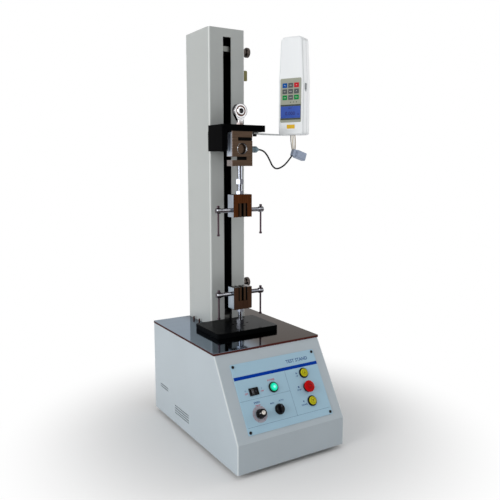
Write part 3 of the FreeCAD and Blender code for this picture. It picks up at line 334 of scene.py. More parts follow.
# Enamels and plastics: screen colour, shading, grain per metre, grain height, roughness, coat, specular
enamels = {
    "cabinetPaint": ((188, 199, 206), 0.05, 700.0, 0.25, 0.42, 0.1, 0.5),
    "columnPaint": ((188, 192, 190), 0.04, 700.0, 0.15, 0.36, 0.1, 0.5),
    "trayPaint": ((150, 153, 153), 0.06, 700.0, 0.2, 0.5, 0.0, 0.5),
    "rubberBlack": ((32, 32, 33), 0.2, 900.0, 0.3, 0.75, 0.0, 0.3),
    "panelFilm": ((170, 206, 226), 0.03, 1500.0, 0.03, 0.32, 0.1, 0.5),
    "controlBlack": ((12, 11, 15), 0.1, 1200.0, 0.05, 0.25, 0.0, 0.12),
    "yellowCap": ((206, 200, 22), 0.08, 1200.0, 0.05, 0.3, 0.0, 0.15),
    "yellowMark": ((150, 138, 16), *capMark),
    "redCap": ((198, 6, 12), 0.08, 1200.0, 0.05, 0.3, 0.0, 0.08),
    "redMark": ((138, 8, 16), *capMark),
    "blackSatin": ((7, 7, 8), 0.15, 900.0, 0.1, 0.35, 0.0, 0.006),
    # the dark pieces in the load cell's slots, as painted shade
    "sealBlack": ((9, 9, 9), 0.2, 900.0, 0.2, 0.6, 0.0, 0.02),
    "motorPaint": ((38, 38, 42), 0.1, 700.0, 0.2, 0.4, 0.0, 0.5),
    "gaugeWhite": ((243, 246, 248), 0.015, 1500.0, 0.05, 0.36, 0.1, 0.5),
    "seamGrey": ((150, 156, 160), 0.02, 1500.0, 0.0, 0.5, 0.0, 0.3),
    "overlayGrey": ((168, 171, 156), 0.03, 1500.0, 0.03, 0.4, 0.0, 0.15),
    "glandGrey": ((112, 138, 150), 0.15, 1200.0, 0.08, 0.35, 0.1, 0.5),
    "cordBlack": ((15, 16, 20), 0.15, 1500.0, 0.1, 0.42, 0.0, 0.12),
    "leadBeige": ((206, 190, 158), *leadSkin),
    "leadGrey": ((120, 112, 98), *leadSkin),
    "leadPale": ((224, 218, 204), *leadSkin),
    "leadBrown": ((160, 140, 112), *leadSkin),
    "stripeBlue": ((0, 60, 168), 0.03, 1500.0, 0.02, 0.4, 0.0, 0.05),
    "lineBlue": ((118, 148, 176), *ink),
    "markRed": ((196, 70, 96), *ink),
    "markBlue": ((58, 94, 150), *ink),
    "markWhite": ((228, 228, 225), *ink),
    "markGrey": ((104, 112, 132), *ink),
    "markMauve": ((132, 96, 120), *ink),
    "dialMauve": ((176, 172, 184), 0.2, 1500.0, 0.0, 0.35, 0.1, 0.4),
    "keyBlue": ((0, 82, 160), *keyFilm),
    "keyGrey": ((88, 93, 94), *keyFilm),
    "keyRed": ((198, 24, 42), *keyFilm),
    "keyGreen": ((0, 140, 66), *keyFilm),
    "displayFrame": ((72, 80, 74), 0.04, 1500.0, 0.0, 0.4, 0.0, 0.1),
    "stickerYellow": ((238, 190, 22), 0.05, 1500.0, 0.0, 0.4, 0.0, 0.3),
    "switchGrey": ((150, 154, 158), 0.05, 1500.0, 0.05, 0.4, 0.0, 0.4),
    "bracketWhite": ((222, 225, 226), 0.03, 900.0, 0.2, 0.45, 0.0, 0.4),
    "labelPale": ((206, 216, 230), *labelFoil),
    "labelBand": ((104, 112, 148), *labelFoil),
}
# Metals: screen colour, stretch of the grain, streak, roughness
metals = {
    "raceBronze": ((96, 58, 40), (200.0, 200.0, 200.0), 0.2, 0.25),
    "milledAluminium": ((132, 134, 130), (20.0, 500.0, 500.0), 0.15, 0.35),
    "caseAluminium": ((190, 192, 194), (500.0, 20.0, 500.0), 0.1, 0.4),
    "knobSteel": ((92, 84, 80), (500.0, 40.0, 40.0), 0.3, 0.22),
    "screwDark": ((46, 44, 44), (300.0, 300.0, 60.0), 0.2, 0.3),
    "rodDark": ((30, 33, 31), (300.0, 300.0, 30.0), 0.2, 0.25),
    "boltRed": ((84, 60, 56), (300.0, 300.0, 60.0), 0.2, 0.3),
    "hoodSilver": ((150, 160, 178), (260.0, 260.0, 260.0), 0.25, 0.38),
    "capSilver": ((190, 186, 180), (300.0, 300.0, 300.0), 0.08, 0.25),
}
# Polished metals whose colour is a painted reflection: light bands, dark bands, direction, waves, phase, then
# as the metals
polished = {
    "rodChrome": ((178, 184, 196), (54, 44, 46), (0.85, -0.52, 0.0), 5.2, 3.5,
                  (300.0, 300.0, 16.0), 0.25, 0.14),
    "eyeChrome": ((236, 236, 238), (88, 84, 88), (0.0, 1.0, 0.0), 3.14, -1.57,
                  (200.0, 200.0, 200.0), 0.03, 0.12),
    "jawScrewSteel": ((164, 166, 172), (54, 44, 48), (0.0, 0.0, 1.0), 6.0, -0.23,
                      (14.0, 420.0, 420.0), 0.3, 0.14),
    "barSteel": ((86, 70, 78), (46, 34, 40), (0.85, -0.52, 0.0), 4.49, 3.37,
                 (400.0, 400.0, 6.0), 0.1, 0.25),
    "boreSteel": ((226, 232, 238), (62, 54, 52), (1.0, 0.0, 0.0), 2.2, 3.8,
                  (200.0, 200.0, 200.0), 0.1, 0.25),
}
# Ground steel blocks with a painted reflection, dark on the front and back faces and pale on the side faces:
# colour of the front and back faces, of the side faces, then as the metals
reflectionBlocks = {
    "gripSteel": ((78, 43, 22), (172, 180, 192), (420.0, 420.0, 24.0), 0.45, 0.2),
    "lowerGripSteel": ((62, 43, 32), (172, 184, 196), (420.0, 420.0, 24.0), 0.4, 0.2),
    "cellSteel": ((84, 68, 56), (140, 132, 130), (30.0, 420.0, 420.0), 0.25, 0.22),
}
# Along the sheet's folded edges the paint is painted paler, as a painted highlight
foldHighlights = {"cabinetPaint": (222, 228, 230), "columnPaint": (232, 235, 233), "amount": 0.75}
# The eye's neck runs into oil-dark steel towards the arm, by height
shank = {"color": (112, 98, 92), "low": 0.7345, "high": 0.7515}


# the paint's colour, painted paler along folded edges as a painted highlight
def foldedColor(tree, name):
    edges = addNode(tree, "ShaderNodeGroup", node_tree=foldHighlightGroup)
    paintedLightMix = mathNode(tree, "MULTIPLY", edges.outputs["Mask"], foldHighlights["amount"])
    return blendColors(tree, paintedLightMix, screenColor(enamels[name][0]), screenColor(foldHighlights[name]))


def polishedMaterial(name, bright, dark, direction, waves, phase, stretch, streak, rough):
    # the colour is a painted reflection in light and dark bands
    tree, surface, effect = brushedMaterial(name, bright, stretch, streak, rough)
    bands = addNode(tree, "ShaderNodeGroup", node_tree=reflectionBandGroup, Bright=screenColor(bright),
                    Dark=screenColor(dark), Direction=direction, Waves=waves, Phase=phase)
    tree.links.new(bands.outputs["Color"], effect.inputs["Color"])
    if name == "eyeChrome":
        up = rangeNode(tree, splitPlace(tree)[2], shank["low"], shank["high"], smooth=True)
        tree.links.new(blendColors(tree, up, screenColor(shank["color"]), screenColor(bright)),
                       bands.inputs["Bright"])


def blockMaterial(name, front, side, stretch, streak, rough):
    tree, surface, effect = brushedMaterial(name, front, stretch, streak, rough)
    # the side faces take a pale painted reflection, the front and back faces a dark brown one
    faces = addNode(tree, "ShaderNodeGroup", node_tree=sideGroup)
    color = blendColors(tree, faces.outputs["Mask"], screenColor(front), screenColor(side))
    tree.links.new(color, effect.inputs["Color"])


columnInsideShade = {"slotHalf": 0.0109, "slotDepth": 0.00015, "wallDepth": 0.0016, "slack": 0.0003, "reach": 0.4,
                "low": 0.0387, "high": 0.9613, "black": (10, 11, 10),
                "tabFrom": 0.0023, "tabTo": 0.052, "tab": (128, 122, 66)}


def columnMaterial():
    # enamel outside, with a painted highlight along its folded edges, and black inside the wall and on the
    # slot's cut faces as painted shade, by how deep a point lies; the small side tab is olive brass
    look = columnInsideShade
    tree, surface, effect = enamelMaterial("columnCoverPaint", *enamels["columnPaint"])
    low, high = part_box("column_back_cover")
    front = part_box("column_cover")[0][1]
    middle = (low[0] + high[0]) / 2
    wallHalf = (high[0] - low[0]) / 2 + look["slack"]
    x, y, z = splitPlace(tree)
    slotFaces, wallFaces = [mathNode(tree, "MULTIPLY", between(tree, x, middle - half, middle + half),
                                     between(tree, y, front + depth, front + look["reach"]))
                            for half, depth in ((look["slotHalf"], look["slotDepth"]),
                                                (wallHalf, look["wallDepth"]))]
    paintedShadeInside = mathNode(tree, "MULTIPLY", mathNode(tree, "MAXIMUM", slotFaces, wallFaces),
                      between(tree, z, look["low"], look["high"]))
    painted = blendColors(tree, paintedShadeInside, foldedColor(tree, "columnPaint"), screenColor(look["black"]))
    tab = between(tree, x, high[0] + look["tabFrom"], high[0] + look["tabTo"])
    tree.links.new(blendColors(tree, tab, painted, screenColor(look["tab"])), effect.inputs["Color"])


plateReflectionLook = {"left": (146, 162, 178), "right": (72, 60, 52), "leftEnd": 0.06, "rightEnd": 0.14,
             "waveScale": 5.0, "waveDetail": 2.0, "wave": 0.02,
             "edge": (70, 34, 30), "edgeTop": 0.0004, "edgeBelow": 0.01,
             "grain": ((14.0, 420.0, 420.0), 0.08, 0.06), "grazing": 0.62}


def plateMaterial():
    # polished steel with a painted reflection: a bluish and a brownish tint run into each other across the
    # plate; the edges are dark
    look = plateReflectionLook
    tree, surface, effect = brushedMaterial("platePolish", look["left"], *look["grain"])
    low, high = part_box("top_plate")
    x, y, z = splitPlace(tree)
    noise = noiseAt(tree, placeOf(tree), look["waveScale"], look["waveDetail"])
    wave = rangeNode(tree, noise, 0.0, 1.0, -look["wave"], look["wave"])
    bent = mathNode(tree, "ADD", x, wave)
    across = rangeNode(tree, bent, low[0] + look["leftEnd"], high[0] - look["rightEnd"], smooth=True)
    # the top's painted reflection, bluish at the left running into brownish at the right
    top = blendColors(tree, across, screenColor(look["left"]), screenColor(look["right"]))
    edge = between(tree, z, low[2] - look["edgeBelow"], high[2] - look["edgeTop"])
    tree.links.new(blendColors(tree, edge, top, screenColor(look["edge"])), effect.inputs["Color"])
    surface["Specular Tint"].default_value = (*[look["grazing"]] * 3, 1.0)


platformLook = {"enamel": ((6, 7, 8), 0.15, 900.0, 0.02, 0.4, 0.0, 0.02), "flat": (0.85, 0.95), "gloss": 0.2,
                "coatIor": 1.36, "coatRough": 0.03}


def platformMaterial():
    # black lacquer whose flat top is polished like glass and whose edges are dull, by how far a face looks up
    look = platformLook
    tree, surface, effect = enamelMaterial("platformLacquer", *look["enamel"])
    up = splitPlace(tree, "Normal")[2]
    tree.links.new(rangeNode(tree, up, *look["flat"], 0.0, look["gloss"]), surface["Coat Weight"])
    surface["Coat IOR"].default_value = look["coatIor"]
    surface["Coat Roughness"].default_value = look["coatRough"]


jawLook = {"face": (62, 45, 33), "shade": (26, 24, 22), "near": 3.2, "far": 8.4,
           "grain": ((420.0, 420.0, 60.0), 0.3, 0.25)}


def jawMaterial():
    # a jaw's middle has its brown face colour; its gripping edge and its edge in the slot are painted dark as
    # painted shade, by how far a point lies from the load line
    tree, surface, effect = brushedMaterial("jawSteel", jawLook["face"], *jawLook["grain"])
    middle = float(bench([loadLine["x"], 0.0, 0.0])[0])
    away = mathNode(tree, "ABSOLUTE", mathNode(tree, "SUBTRACT", splitPlace(tree)[0], middle))
    # outside this band the jaw is painted dark as shade
    paintedLightMix = between(tree, away, jawLook["near"] * mm, jawLook["far"] * mm)
    color = blendColors(tree, paintedLightMix, screenColor(jawLook["shade"]), screenColor(jawLook["face"]))
    tree.links.new(color, effect.inputs["Color"])


lampLook = {"spot": (-19.4, 100.0, 4.0), "core": (170, 255, 255), "middle": (0, 238, 196),
            "rim": (0, 112, 70), "coreGlowAndHighlight": (0.0026, 0.0044), "outer": (0.0056, 0.0098), "glow": 0.9,
            "glass": (0.05, 900.0, 0.1, 0.15, 0.0, 0.2)}


def lampMaterial():
    # a lit lens: white in the middle, partly the lamp's glow and partly a painted highlight on the lens;
    # green-blue around it, darker green towards the rim
    look = lampLook
    tree, surface, effect = enamelMaterial("lampGreen", look["rim"], *look["glass"])
    away = vectorNode(tree, "DISTANCE", placeOf(tree), panelPlace(look["spot"]).tolist())
    coreGlowAndHighlight = rangeNode(tree, away, *look["coreGlowAndHighlight"], smooth=True)
    outer = rangeNode(tree, away, *look["outer"], smooth=True)
    color = blendColors(tree, coreGlowAndHighlight, screenColor(look["core"]), screenColor(look["middle"]))
    tree.links.new(blendColors(tree, outer, color, screenColor(look["rim"])), surface["Emission Color"])
    surface["Emission Strength"].default_value = look["glow"]


displays = {"displayBlue": ((34, 74, 166), 0.12), "digitInk": ((16, 32, 110), 0.02)}  # screen colour, glow


def displayMaterial(name, color, glow):
    # a backlit film: its colour glows a little
    tree, surface, effect = enamelMaterial(name, color, *backlit)
    tree.links.new(effect.outputs["Color"], surface["Emission Color"])
    surface["Emission Strength"].default_value = glow


for name, look in enamels.items():
    tree, surface, effect = enamelMaterial(name, *look)
    # the cabinet paint gets the painted highlight along its folds
    if name in foldHighlights:
        tree.links.new(foldedColor(tree, name), effect.inputs["Color"])
for make, looks in ((brushedMaterial, metals), (polishedMaterial, polished), (blockMaterial, reflectionBlocks),
                    (displayMaterial, displays)):
    for name, look in looks.items():
        make(name, *look)
for make in (columnMaterial, plateMaterial, platformMaterial, jawMaterial, lampMaterial):
    make()
print("materials:", len(paints))

nodeFinishes = {
    "cabinetPaint": ["cabinet_shell"], "trayPaint": ["base_tray"], "rubberBlack": ["rubber_feet"],
    "platePolish": ["top_plate"], "panelFilm": ["control_panel"], "lampGreen": ["power_lamp"],
    "columnCoverPaint": ["column_cover"], "columnPaint": ["column_back_cover"], "boltRed": ["base_bolts"],
    "motorPaint": ["drive_motor"], "caseAluminium": ["power_supply"], "platformLacquer": ["platform"],
    "controlBlack": ["button_bodies", "power_inlet", "selector_knob", "speed_knob", "rocker_switch"],
    "yellowCap": ["up_button", "down_button"], "redCap": ["stop_button"],
    "screwDark": ["cover_screws", "crosshead_screws"], "rodDark": ["guide_rods", "lead_screw"],
    "rodChrome": ["lower_pull_rod", "upper_pull_rod"], "eyeChrome": ["rod_end_housing", "rod_end_ball"],
    "milledAluminium": ["bearing_plates", "upper_limit_nut", "lower_limit_nut"],
    "knobSteel": ["upper_limit_knob", "lower_limit_knob"],
    "blackSatin": ["carriage", "crosshead_block", "crosshead_arm"], "cellSteel": ["load_cell"],
    "overlayGrey": ["gauge_overlay"], "switchGrey": ["gauge_power_switch"], "bracketWhite": ["gauge_bracket"],
    "gaugeWhite": ["gauge_front_shell", "gauge_back_shell"], "glandGrey": ["cord_gland"],
    "hoodSilver": ["cord_hood"], "gripSteel": ["upper_grip_body"], "lowerGripSteel": ["lower_grip_body"],
}
gripSides = [f"{level}_{side}" for level in ("upper", "lower") for side in ("left", "right")]
for part, finish in (("jaw", "jawSteel"), ("screw", "jawScrewSteel"), ("bar", "barSteel")):
    nodeFinishes[finish] = [f"{side}_{part}" for side in gripSides]
for finish, names in nodeFinishes.items():
    for name in names:
        for materialSlot in nodes[name].material_slots:
            materialSlot.material = paints[finish]


def addPiece(name, data, finish, body, slotName):
    # an object at the origin that rides on a body
    data.materials.clear()
    data.materials.append(paints[finish])
    piece = bpy.data.objects.new(name, data)
    bpy.context.scene.collection.objects.link(piece)
    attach(piece, body)
    return piece


def makePiece(name, vertices, faces, finish, body, slotName, smooth=False):
    mesh = bpy.data.meshes.new(name)
    mesh.from_pydata(vertices.tolist(), [], faces)
    mesh.polygons.foreach_set("use_smooth", np.full(len(mesh.polygons), smooth))
    mesh.update()
    return addPiece(name, mesh, finish, body, slotName)


def ringQuads(rings, around, bands):
    # quads between neighbouring rings of points; as many bands as rings also join the last ring to the first
    i, j = np.meshgrid(np.arange(bands), np.arange(around), indexing="ij")
    nextI, nextJ = (i + 1) % rings, (j + 1) % around
    quads = [i * around + j, i * around + nextJ, nextI * around + nextJ, nextI * around + j]
    return np.stack(quads, -1).reshape(-1, 4)


def joinRings(name, stacks, place, *owner, smooth=False):
    # one mesh of several solids; each is a stack of rings of points with a face on its first and last ring
    vertices, faces, count = [], [], 0
    for stack in stacks:
        rings, around = stack.shape[:2]
        ring = count + np.arange(around)
        faces += (ringQuads(rings, around, rings - 1) + count).tolist()
        faces += [ring[::-1].tolist(), (ring + (rings - 1) * around).tolist()]
        vertices.append(stack.reshape(-1, 3))
        count += rings * around
    return makePiece(name, place(np.concatenate(vertices)), faces, *owner, smooth=smooth)


def roundedOutline(halfWidth, halfHeight, radius, steps=5):
    # a quarter circle in each corner, joined into one counter-clockwise loop
    t = np.linspace(0.0, math.pi / 2, steps)
    parts = []
    for turn, (sx, sy) in enumerate(((1, 1), (-1, 1), (-1, -1), (1, -1))):
        a = t + turn * math.pi / 2
        parts.append(np.stack([sx * (halfWidth - radius) + radius * np.cos(a),
                               sy * (halfHeight - radius) + radius * np.sin(a)], -1))
    return np.concatenate(parts)


def raised(flat, level):
    # a flat outline at a level
    return np.column_stack([flat, np.full(len(flat), level)])


def slabPoints(center, halfWidth, halfHeight, radius, low, high, edge, early=0.3):
    # the outline at each level, drawn in by edge at the top, where early is how soon the rounding begins
    rings = []
    for inset, level in ((0.0, low), (0.0, high - edge), (edge * early, high - edge * early), (edge, high)):
        flat = roundedOutline(halfWidth - inset, halfHeight - inset, max(radius - inset, radius * early))
        rings.append(raised(flat + np.array(center), level))
    return np.stack(rings)


def joinSlabs(name, slabs, place, *owner):
    # each slab is (center, half width, half height, corner radius, low, high, edge)
    return joinRings(name, [slabPoints(*slab) for slab in slabs], place, *owner)


def joinPrisms(name, outlines, low, high, place, *owner):
    # flat outlines, each counter-clockwise, raised from low to high
    stacks = [np.stack([raised(outline, low), raised(outline, high)]) for outline in outlines]
    return joinRings(name, stacks, place, *owner)


def lathePoints(profile, around):
    # a profile of (radius, height) turned about the height axis
    r, h = np.asarray(profile, float).T
    a = np.linspace(0.0, 2 * math.pi, around, endpoint=False)
    return np.stack([r[:, None] * np.cos(a), r[:, None] * np.sin(a), np.repeat(h[:, None], around, 1)], -1)


def makeRing(name, profile, place, *owner, around=64):
    # a closed profile of (radius, height), outwards first, turned about the height axis into a ring
    rings = lathePoints(profile, around)
    quads = ringQuads(len(rings), around, len(rings))
    return makePiece(name, place(rings.reshape(-1, 3)), quads.tolist(), *owner)


def makeRidge(name, ridge, place, *owner):
    # a low trapezium carried round the axis, rising by lead each turn;
    # each further start begins a part of a turn later
    turns = (ridge["high"] - ridge["low"]) / ridge["lead"]
    t = np.linspace(0.0, turns, int(turns * ridge["steps"]) + 1)
    root, tip, half = ridge["radius"] - ridge["sunk"], ridge["radius"] + ridge["height"], ridge["half"]
    crest = half * ridge["crest"]
    across, up = np.array([(root, half), (tip, crest), (tip, -crest), (root, -half)]).T
    stacks = []
    for start in range(ridge["starts"]):
        a = 2 * math.pi * (t[:, None] + start / ridge["starts"])
        z = ridge["low"] + ridge["lead"] * t[:, None] + up
        stacks.append(np.stack([across * np.cos(a), across * np.sin(a), z], -1))
    return joinRings(name, stacks, place, *owner)


def makeWords(name, words, size, depth, spot, place, *owner):
    # letters of the built-in typeface as a thin solid, set into place point by point
    curve = bpy.data.curves.new(name, "FONT")
    curve.body = words
    curve.size = size
    curve.extrude = depth / 2
    curve.offset = size * 0.02  # a little bolder
    curve.align_x = "CENTER"
    curve.align_y = "CENTER"
    curve.resolution_u = 2
    holder = bpy.data.objects.new(name + "Draft", curve)
    bpy.context.scene.collection.objects.link(holder)
    mesh = bpy.data.meshes.new_from_object(holder)
    bpy.data.objects.remove(holder)
    flat = np.empty(len(mesh.vertices) * 3)
    mesh.vertices.foreach_get("co", flat)
    flat = flat.reshape(-1, 3) + np.array([spot[0], spot[1], spot[2] + depth / 2])
    mesh.vertices.foreach_set("co", place(flat).ravel())
    mesh.name = name
    mesh.update()
    return addPiece(name, mesh, *owner)


def arrowOutline(center, direction, half):
    # a triangle that points up or down, counter-clockwise
    x, y = center
    foot = y - direction * half * 0.8
    return [(x - direction * half, foot), (x + direction * half, foot), (x, y + direction * half)]


def radialMark(center, angle, near, far, half):
    # a short bar that points away from the center
    ray = np.array([math.cos(angle), math.sin(angle)])
    cross = np.array([-ray[1], ray[0]]) * half
    near, far = center + near * ray, center + far * ray
    return [near - cross, far - cross, far + cross, near + cross]


# The print on the control panel: words that any such panel has, in the places of the printed ones
panel = {
    "film": 0.1, "edge": 0.03,
    "stripe": ((1.9, 133.2), 110.9, 3.6), "stripeCorner": 0.2,
    "lines": [((-44.0, 84.2), 64.5, 0.35), ((20.3, 78.2), 0.35, 50.0), ((1.9, 29.0), 108.0, 0.35)],
    "lineCorner": 0.1,
    "dial": (-69.7, 51.5), "dialRadii": (10.9, 17.8),
    "ticks": 11, "tickSpan": 300.0, "tickNear": 16.2, "tickHalf": 0.35, "boldEach": 5, "boldHalf": 0.55,
    "numberEach": 2, "numberRadius": 13.9, "numberSize": 3.2,
    "words": [("onMark", "I", 4.6, (-49.0, 104.0), "markBlue"),
              ("onWord", "ON", 4.6, (-48.6, 97.6), "markRed"),
              ("offMark", "O", 4.6, (-89.2, 104.2), "markBlue"),
              ("offWord", "OFF", 4.6, (-88.6, 97.8), "markRed"),
              ("titleWord", "TEST STAND", 10.5, (61.0, 147.6), "markBlue"),
              ("powerWord", "POWER", 5.4, (-20.0, 116.4), "markRed"),
              ("speedWord", "SPEED", 5.8, (-69.8, 76.0), "markBlue"),
              ("speedUnit", "mm/min", 4.0, (-69.0, 70.4), "markRed"),
              ("manualWord", "MAN", 4.6, (-33.4, 67.2), "markBlue"),
              ("autoWord", "AUTO", 4.6, (-9.6, 69.0), "markBlue"),
              ("upWord", "UP", 4.6, (49.0, 111.6), "markBlue"),
              ("stopWord", "STOP", 4.6, (44.6, 81.0), "markBlue"),
              ("downWord", "DOWN", 4.6, (46.4, 47.4), "markBlue")],
    "arrows": [((49.0, 118.6), 1), ((46.6, 54.6), -1)], "arrowHalf": 2.3,
    "square": ((44.6, 87.6), 1.9, 1.9),
}


def buildPanelPrint():
    film = panel["film"]
    owner = ("machine", "panel_print")

    def printed(name, shapes, corner, finish):
        slabs = [(*shape, corner, 0.0, film, panel["edge"]) for shape in shapes]
        joinSlabs(name, slabs, panelPlace, finish, *owner)

    printed("panelStripe", [panel["stripe"]], panel["stripeCorner"], "stripeBlue")
    printed("panelLines", panel["lines"], panel["lineCorner"], "lineBlue")
    inner, outer = panel["dialRadii"]
    makeRing("dialRing", [(inner, 0.0), (outer, 0.0), (outer, film), (inner, film)],
             panelAt(*panel["dial"], 0.0), "dialMauve", *owner)
    middle = np.array(panel["dial"])
    ticks = []
    for n in range(panel["ticks"]):
        a = math.radians(90 + panel["tickSpan"] / 2 - n * panel["tickSpan"] / (panel["ticks"] - 1))
        half = panel["tickHalf"] if n % panel["boldEach"] else panel["boldHalf"]
        ticks.append(radialMark(middle, a, panel["tickNear"], outer, half))
        if n % panel["numberEach"] == 0:
            spot = middle + panel["numberRadius"] * np.array([math.cos(a), math.sin(a)])
            makeWords(f"dialNumber{n}", str(n), panel["numberSize"], film, (*spot, film), panelPlace,
                      "markMauve", *owner)
    joinPrisms("dialTicks", ticks, 0.0, 2 * film, panelPlace, "markMauve", *owner)
    for name, words, size, spot, finish in panel["words"]:
        makeWords(name, words, size, film, (*spot, 0.0), panelPlace, finish, *owner)
    arrows = [arrowOutline(center, direction, panel["arrowHalf"]) for center, direction in panel["arrows"]]
    joinPrisms("panelArrows", arrows, 0.0, film, panelPlace, "markBlue", *owner)
    printed("stopSquare", [panel["square"]], panel["stripeCorner"], "markBlue")


buildPanelPrint()
print("panel print done")

# What stands on the caps and knobs; the tops, the speed scale and the selector's mark are measured from the
# panel's face, the other marks from the top that they are on
controls = {
    "buttonU": 68.2,
    "caps": [("up", 115.7, 1), ("down", 51.7, -1)], "capTop": 5.55,
    "arrow": 3.0, "arrowHeights": (-0.3, 0.14),
    "capRing": [(5.6, -0.35), (6.2, -0.35), (6.2, 0.07), (5.6, 0.11)],
    "stopV": 83.4, "stopTop": 11.75, "stopRing": [(6.3, -0.5), (7.0, -0.5), (7.0, -0.2), (6.3, -0.08)],
    "arcRadii": (3.0, 4.4), "arcAngles": (20.0, 150.0), "arcHeights": (-0.3, 0.12),
    "knob": (-69.7, 51.5), "knobTop": 16.4,
    "knobCap": [(4.7, -0.2), (4.7, 0.5), (4.3, 0.95), (2.2, 1.1), (2.0, 0.4), (0.05, 0.35)],
    "scaleMarks": 20, "scaleRadii": (9.75, 10.5), "scaleHalf": 0.22, "scaleHeights": (2.6, 3.7),
    "pointer": [(-8.8, -0.6), (-5.6, -0.5), (-5.6, 0.5), (-8.8, 0.6)], "pointerHeights": (-1.4, 0.1),
    "selectorMark": ((-19.4, 56.9), 0.4, 2.6, 0.3), "selectorHeights": (12.0, 12.5, 0.03),
}


def buildCapMarks():
    # a ring and an arrow on each yellow cap, a ring and two arcs on the red one
    c = controls
    for label, v, direction in c["caps"]:
        owner = ("yellowMark", f"{label}_button", "yellow_plastic")
        place = panelAt(c["buttonU"], v, c["capTop"])
        makeRing(f"{label}CapMarkRing", c["capRing"], place, *owner)
        arrow = arrowOutline((0.0, 0.0), direction, c["arrow"])
        joinPrisms(f"{label}CapMark", [arrow], *c["arrowHeights"], place, *owner)
    owner = ("redMark", "stop_button", "red_plastic")
    place = panelAt(c["buttonU"], c["stopV"], c["stopTop"])
    makeRing("stopCapRing", c["stopRing"], place, *owner)
    arcs = []
    for turn in (0, 180):
        a = np.radians(np.linspace(*c["arcAngles"], 12) + turn)
        ray = np.stack([np.cos(a), np.sin(a)], -1)
        near, far = c["arcRadii"]
        arcs.append(np.concatenate([near * ray[::-1], far * ray]))
    joinPrisms("stopCapArcs", arcs, *c["arcHeights"], place, *owner)


def buildKnobMarks():
    # a metal cap, a ring of short bars and a pointer on the speed knob, a bar on the selector
    c = controls
    top = panelAt(*c["knob"], c["knobTop"])
    owner = ("speed_knob", "black_plastic")
    joinRings("speedKnobCap", [lathePoints(c["knobCap"], 48)], top, "capSilver", *owner, smooth=True)
    angles = 2 * math.pi * np.arange(c["scaleMarks"]) / c["scaleMarks"]
    marks = [radialMark(np.zeros(2), a, *c["scaleRadii"], c["scaleHalf"]) for a in angles]
    joinPrisms("speedKnobScale", marks, *c["scaleHeights"], panelAt(*c["knob"], 0.0), "markWhite", *owner)
    joinPrisms("speedKnobPointer", [c["pointer"]], *c["pointerHeights"], top, "markWhite", *owner)
    joinSlabs("selectorPointer", [(*c["selectorMark"], *c["selectorHeights"])], panelPlace, "markGrey",
              "selector_knob", "black_plastic")


rocker = {"u": -69.7, "v": 100.0, "tilt": 10.0, "pivotW": -3.0, "faceLow": 0.3, "faceHigh": 2.0, "half": 8.2,
          "markX": 4.6, "bar": (0.3, 1.8, 0.2, -0.3, 0.1, 0.03),
          "ring": [(1.3, -0.3), (1.75, -0.3), (1.75, 0.1), (1.3, 0.1)]}


def rockerPlace(side):
    # a level on the rocker's left or right half face: slanted up to the tip, then tilted about its pin
    def place(points):
        x, y, level = axes(points + np.array([side * rocker["markX"], 0.0, 0.0]))
        rise = (rocker["faceHigh"] - rocker["faceLow"]) / rocker["half"]
        up = rocker["faceLow"] + rise * side * x + level - rocker["pivotW"]
        a = math.radians(rocker["tilt"])
        turnedX = x * math.cos(a) + up * math.sin(a)
        turnedW = -x * math.sin(a) + up * math.cos(a) + rocker["pivotW"]
        return panelPlace(np.stack([rocker["u"] + turnedX, rocker["v"] + y, turnedW], -1))
    return place


def buildRockerMarks():
    owner = ("markGrey", "rocker_switch", "black_plastic")
    joinSlabs("rockerOnMark", [((0.0, 0.0), *rocker["bar"])], rockerPlace(1), *owner)
    makeRing("rockerOffMark", rocker["ring"], rockerPlace(-1), *owner)


buildCapMarks()
buildKnobMarks()
buildRockerMarks()
print("control marks done")

# Cross recesses of the small dome screws, drawn as thin black crosses on the heads as painted shade in the
# recesses; one of the two bars ends a hair lower, so that no faces coincide
crossRecessShades = {"halfLength": 1.7, "halfWidth": 0.34, "corner": 0.1, "low": 1.5, "high": 2.05, "lower": 0.02,
           "edge": 0.03, "columnY": 424.0, "trayY": 426.0,
           "panel": [(u, v) for u in (-103.5, 107.3) for v in (19.2, 159.5)],
           "column": [(-11.5 - s * 39.5, z) for s in (-1, 1) for z in (272.0, 602.9, 933.8)],
           "tray": [(-s * 120.0, z) for s in (-1, 1) for z in (30.0, 212.0)]}


def buildCrosses(name, spots, base, place):
    c = crossRecessShades
    bars = ((c["halfLength"], c["halfWidth"], c["high"]),
            (c["halfWidth"], c["halfLength"], c["high"] - c["lower"]))
    slabs = [(spot, wide, tall, c["corner"], base + c["low"], base + high, c["edge"])
             for spot in spots for wide, tall, high in bars]
    joinSlabs(name, slabs, place, "blackSatin", "machine", "screw_zinc")


buildCrosses("panelScrewCrosses", crossRecessShades["panel"], 0.0, panelPlace)
buildCrosses("columnScrewCrosses", crossRecessShades["column"], crossRecessShades["columnY"], onBack)
buildCrosses("trayScrewCrosses", crossRecessShades["tray"], crossRecessShades["trayY"], onBack)

